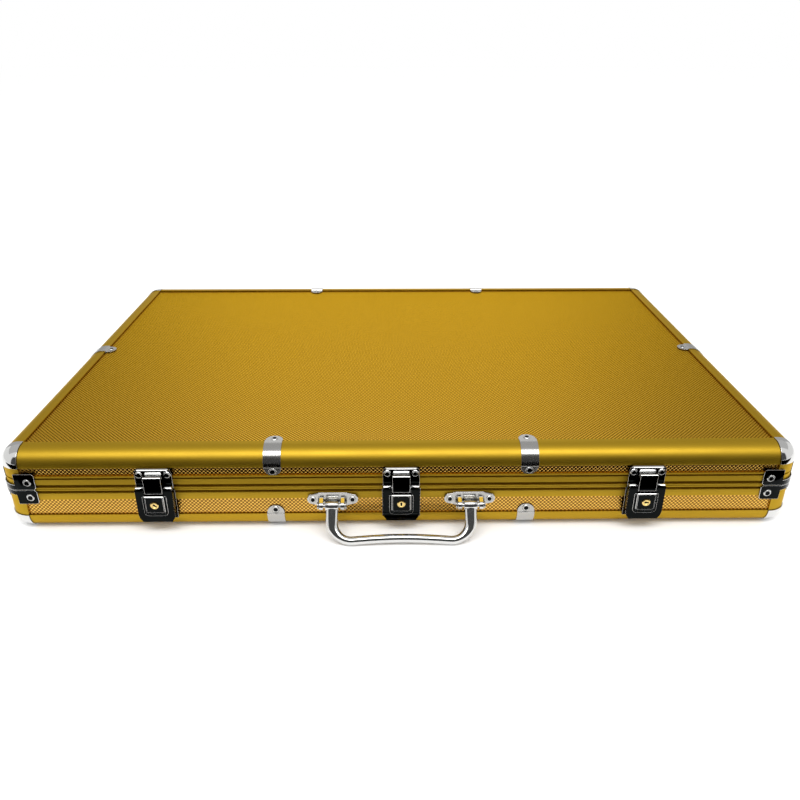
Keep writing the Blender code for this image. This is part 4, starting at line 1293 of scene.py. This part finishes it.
# Studio: the cards by their glow, their glow at the sides where it fades, and their corners
OVER = 1.3
FRONT = -1.35
BACK = 3.0
LIFT = 0.002
FLAT = 0.001
CARDS = (
    (
        "overhead_card", 0.62, None,
        ((-2.5, -0.45, OVER), (2.5, -0.45, OVER), (2.5, 1.25, OVER), (-2.5, 1.25, OVER)),
    ),
    (
        "front_card", 0.08, None,
        ((-1.8, FRONT, LIFT), (1.8, FRONT, LIFT), (1.8, FRONT, 1.25), (-1.8, FRONT, 1.25)),
    ),
    (
        "table_card", 0.0, None,
        ((-0.9, -1.34, FLAT), (0.9, -1.34, FLAT), (0.9, -0.253, FLAT), (-0.9, -0.253, FLAT)),
    ),
    (
        "back_card", 1.06, 0.5,
        ((-4.5, BACK, LIFT), (4.5, BACK, LIFT), (4.5, BACK, 5.0), (-4.5, BACK, 5.0)),
    ),
)
FADE_FROM = 0.5
FADE_TO = 2.0
FLOOR_REACH = 9
FLOOR_LIT = (0.86, 0.86, 0.86, 1)
SOFT_BOX_SIZE = (1.7, 0.50)
SOFT_BOX_POWER = 13.0
SOFT_BOX_PLACE = (0, -0.85, 1.25)
SOFT_BOX_TILT = math.radians(34)

# Camera, fitted to the photo with its lens held at this length
CAMERA_PLACE = (-0.0072, -0.6404, 0.3238)
CAMERA_PITCH = math.radians(26.025)
CAMERA_YAW = 0.01394
CAMERA_ROLL = 0.00114
CAMERA_LENS = 33.3
CAMERA_SENSOR = 36.0


def card(name, points, strength, edge_strength):
    """A studio card that only reflections see; its glow may fade to another strength towards its sides."""
    mesh = bpy.data.meshes.new(name)
    mesh.from_pydata([Vector(point) for point in points], [], [(0, 1, 2, 3)])
    made = bpy.data.objects.new(name, mesh)
    bpy.context.scene.collection.objects.link(made)
    material = bpy.data.materials.new(name)
    material.use_nodes = True
    tree = material.node_tree
    tree.nodes.clear()
    w = Wiring(tree)
    if edge_strength is not None:
        place = w.node("ShaderNodeSeparateXYZ", {0: w.node("ShaderNodeTexCoord").outputs["Object"]}).outputs
        strength = w.ramp(w.sum("ABSOLUTE", place[0]), FADE_FROM, FADE_TO, strength, edge_strength)
    glow = w.node("ShaderNodeEmission", {"Color": (1, 1, 1, 1), "Strength": strength})
    w.node("ShaderNodeOutputMaterial", {"Surface": glow.outputs[0]})
    mesh.materials.append(material)
    made.visible_camera = False
    made.visible_diffuse = False
    made.visible_shadow = False
    made.visible_transmission = False


class CASE_OT_studio(Operator):
    """Floor, studio light, reflection cards and camera"""

    bl_idname = "chip_case.studio"
    bl_label = "Studio"

    def execute(self, context):
        scene = context.scene
        scene.view_settings.view_transform = "Standard"
        floor_mesh = bpy.data.meshes.new("floor")
        far = FLOOR_REACH
        corners = [(-far, -far, 0), (far, -far, 0), (far, far, 0), (-far, far, 0)]
        floor_mesh.from_pydata(corners, [], [(0, 1, 2, 3)])
        floor = bpy.data.objects.new("floor", floor_mesh)
        scene.collection.objects.link(floor)
        material, w, shader = start_material("floor")
        rays = w.node("ShaderNodeLightPath").outputs
        seen = w.sum("MAXIMUM", rays["Is Camera Ray"], rays["Is Glossy Ray"])
        seen = w.sum("MAXIMUM", seen, rays["Is Transmission Ray"])
        w.tree.links.new(w.blend(seen, FLOOR_LIT, WHITE), shader.inputs["Base Color"])
        shader.inputs["Roughness"].default_value = 1.0
        shader.inputs["Specular IOR Level"].default_value = 0.0
        floor_mesh.materials.append(material)

        world = bpy.data.worlds.new("studio")
        scene.world = world
        world.use_nodes = True
        background = world.node_tree.nodes["Background"]
        background.inputs["Color"].default_value = WHITE
        background.inputs["Strength"].default_value = 1.0

        lamp = bpy.data.lights.new("soft_box", "AREA")
        lamp.shape = "RECTANGLE"
        lamp.size, lamp.size_y = SOFT_BOX_SIZE
        lamp.energy = SOFT_BOX_POWER
        box = bpy.data.objects.new("soft_box", lamp)
        box.location = SOFT_BOX_PLACE
        box.rotation_euler = (SOFT_BOX_TILT, 0, 0)
        scene.collection.objects.link(box)

        for name, strength, edge_strength, points in CARDS:
            card(name, points, strength, edge_strength)

        pitch = CAMERA_PITCH
        yaw = CAMERA_YAW
        roll = CAMERA_ROLL
        ahead = Vector((math.sin(yaw) * math.cos(pitch), math.cos(yaw) * math.cos(pitch), -math.sin(pitch)))
        across = Vector((math.cos(yaw), -math.sin(yaw), 0))
        up = across.cross(ahead)
        right = across * math.cos(roll) + up * math.sin(roll)
        top = up * math.cos(roll) - across * math.sin(roll)
        data = bpy.data.cameras.new("camera")
        data.lens = CAMERA_LENS
        data.sensor_width = CAMERA_SENSOR
        camera = bpy.data.objects.new("camera", data)
        turn = Matrix((right, top, -ahead)).transposed().to_4x4()
        camera.matrix_world = Matrix.Translation(CAMERA_PLACE) @ turn
        scene.collection.objects.link(camera)
        scene.camera = camera
        return {"FINISHED"}


STEPS = (
    CASE_OT_boards, CASE_OT_rails, CASE_OT_frames, CASE_OT_latches, CASE_OT_handle, CASE_OT_hinges,
    CASE_OT_inside, CASE_OT_studio,
)


class CASE_PT_panel(Panel):
    """Lists the steps that dress the case"""

    bl_idname = "CASE_PT_panel"
    bl_label = "Chip case"
    bl_space_type = "VIEW_3D"
    bl_region_type = "UI"
    bl_category = "Chip case"

    def draw(self, context):
        for group in (context.scene.case_finishes, context.scene.case_sizes):
            for key in group.__annotations__:
                self.layout.prop(group, key)
        for step in STEPS:
            self.layout.operator(step.bl_idname)


CLASSES = (CaseFinishes, CaseSizes) + STEPS + (CASE_PT_panel,)


def register():
    """Registers the classes and the scene's settings."""
    for each in CLASSES:
        bpy.utils.register_class(each)
    bpy.types.Scene.case_finishes = PointerProperty(type=CaseFinishes)
    bpy.types.Scene.case_sizes = PointerProperty(type=CaseSizes)


def unregister():
    """Takes them away again."""
    del bpy.types.Scene.case_sizes
    del bpy.types.Scene.case_finishes
    for each in reversed(CLASSES):
        bpy.utils.unregister_class(each)


def main():
    """Runs every step in order."""
    register()
    for step in STEPS:
        area, name = step.bl_idname.split(".")
        getattr(getattr(bpy.ops, area), name)()


if __name__ == "__main__":
    main()
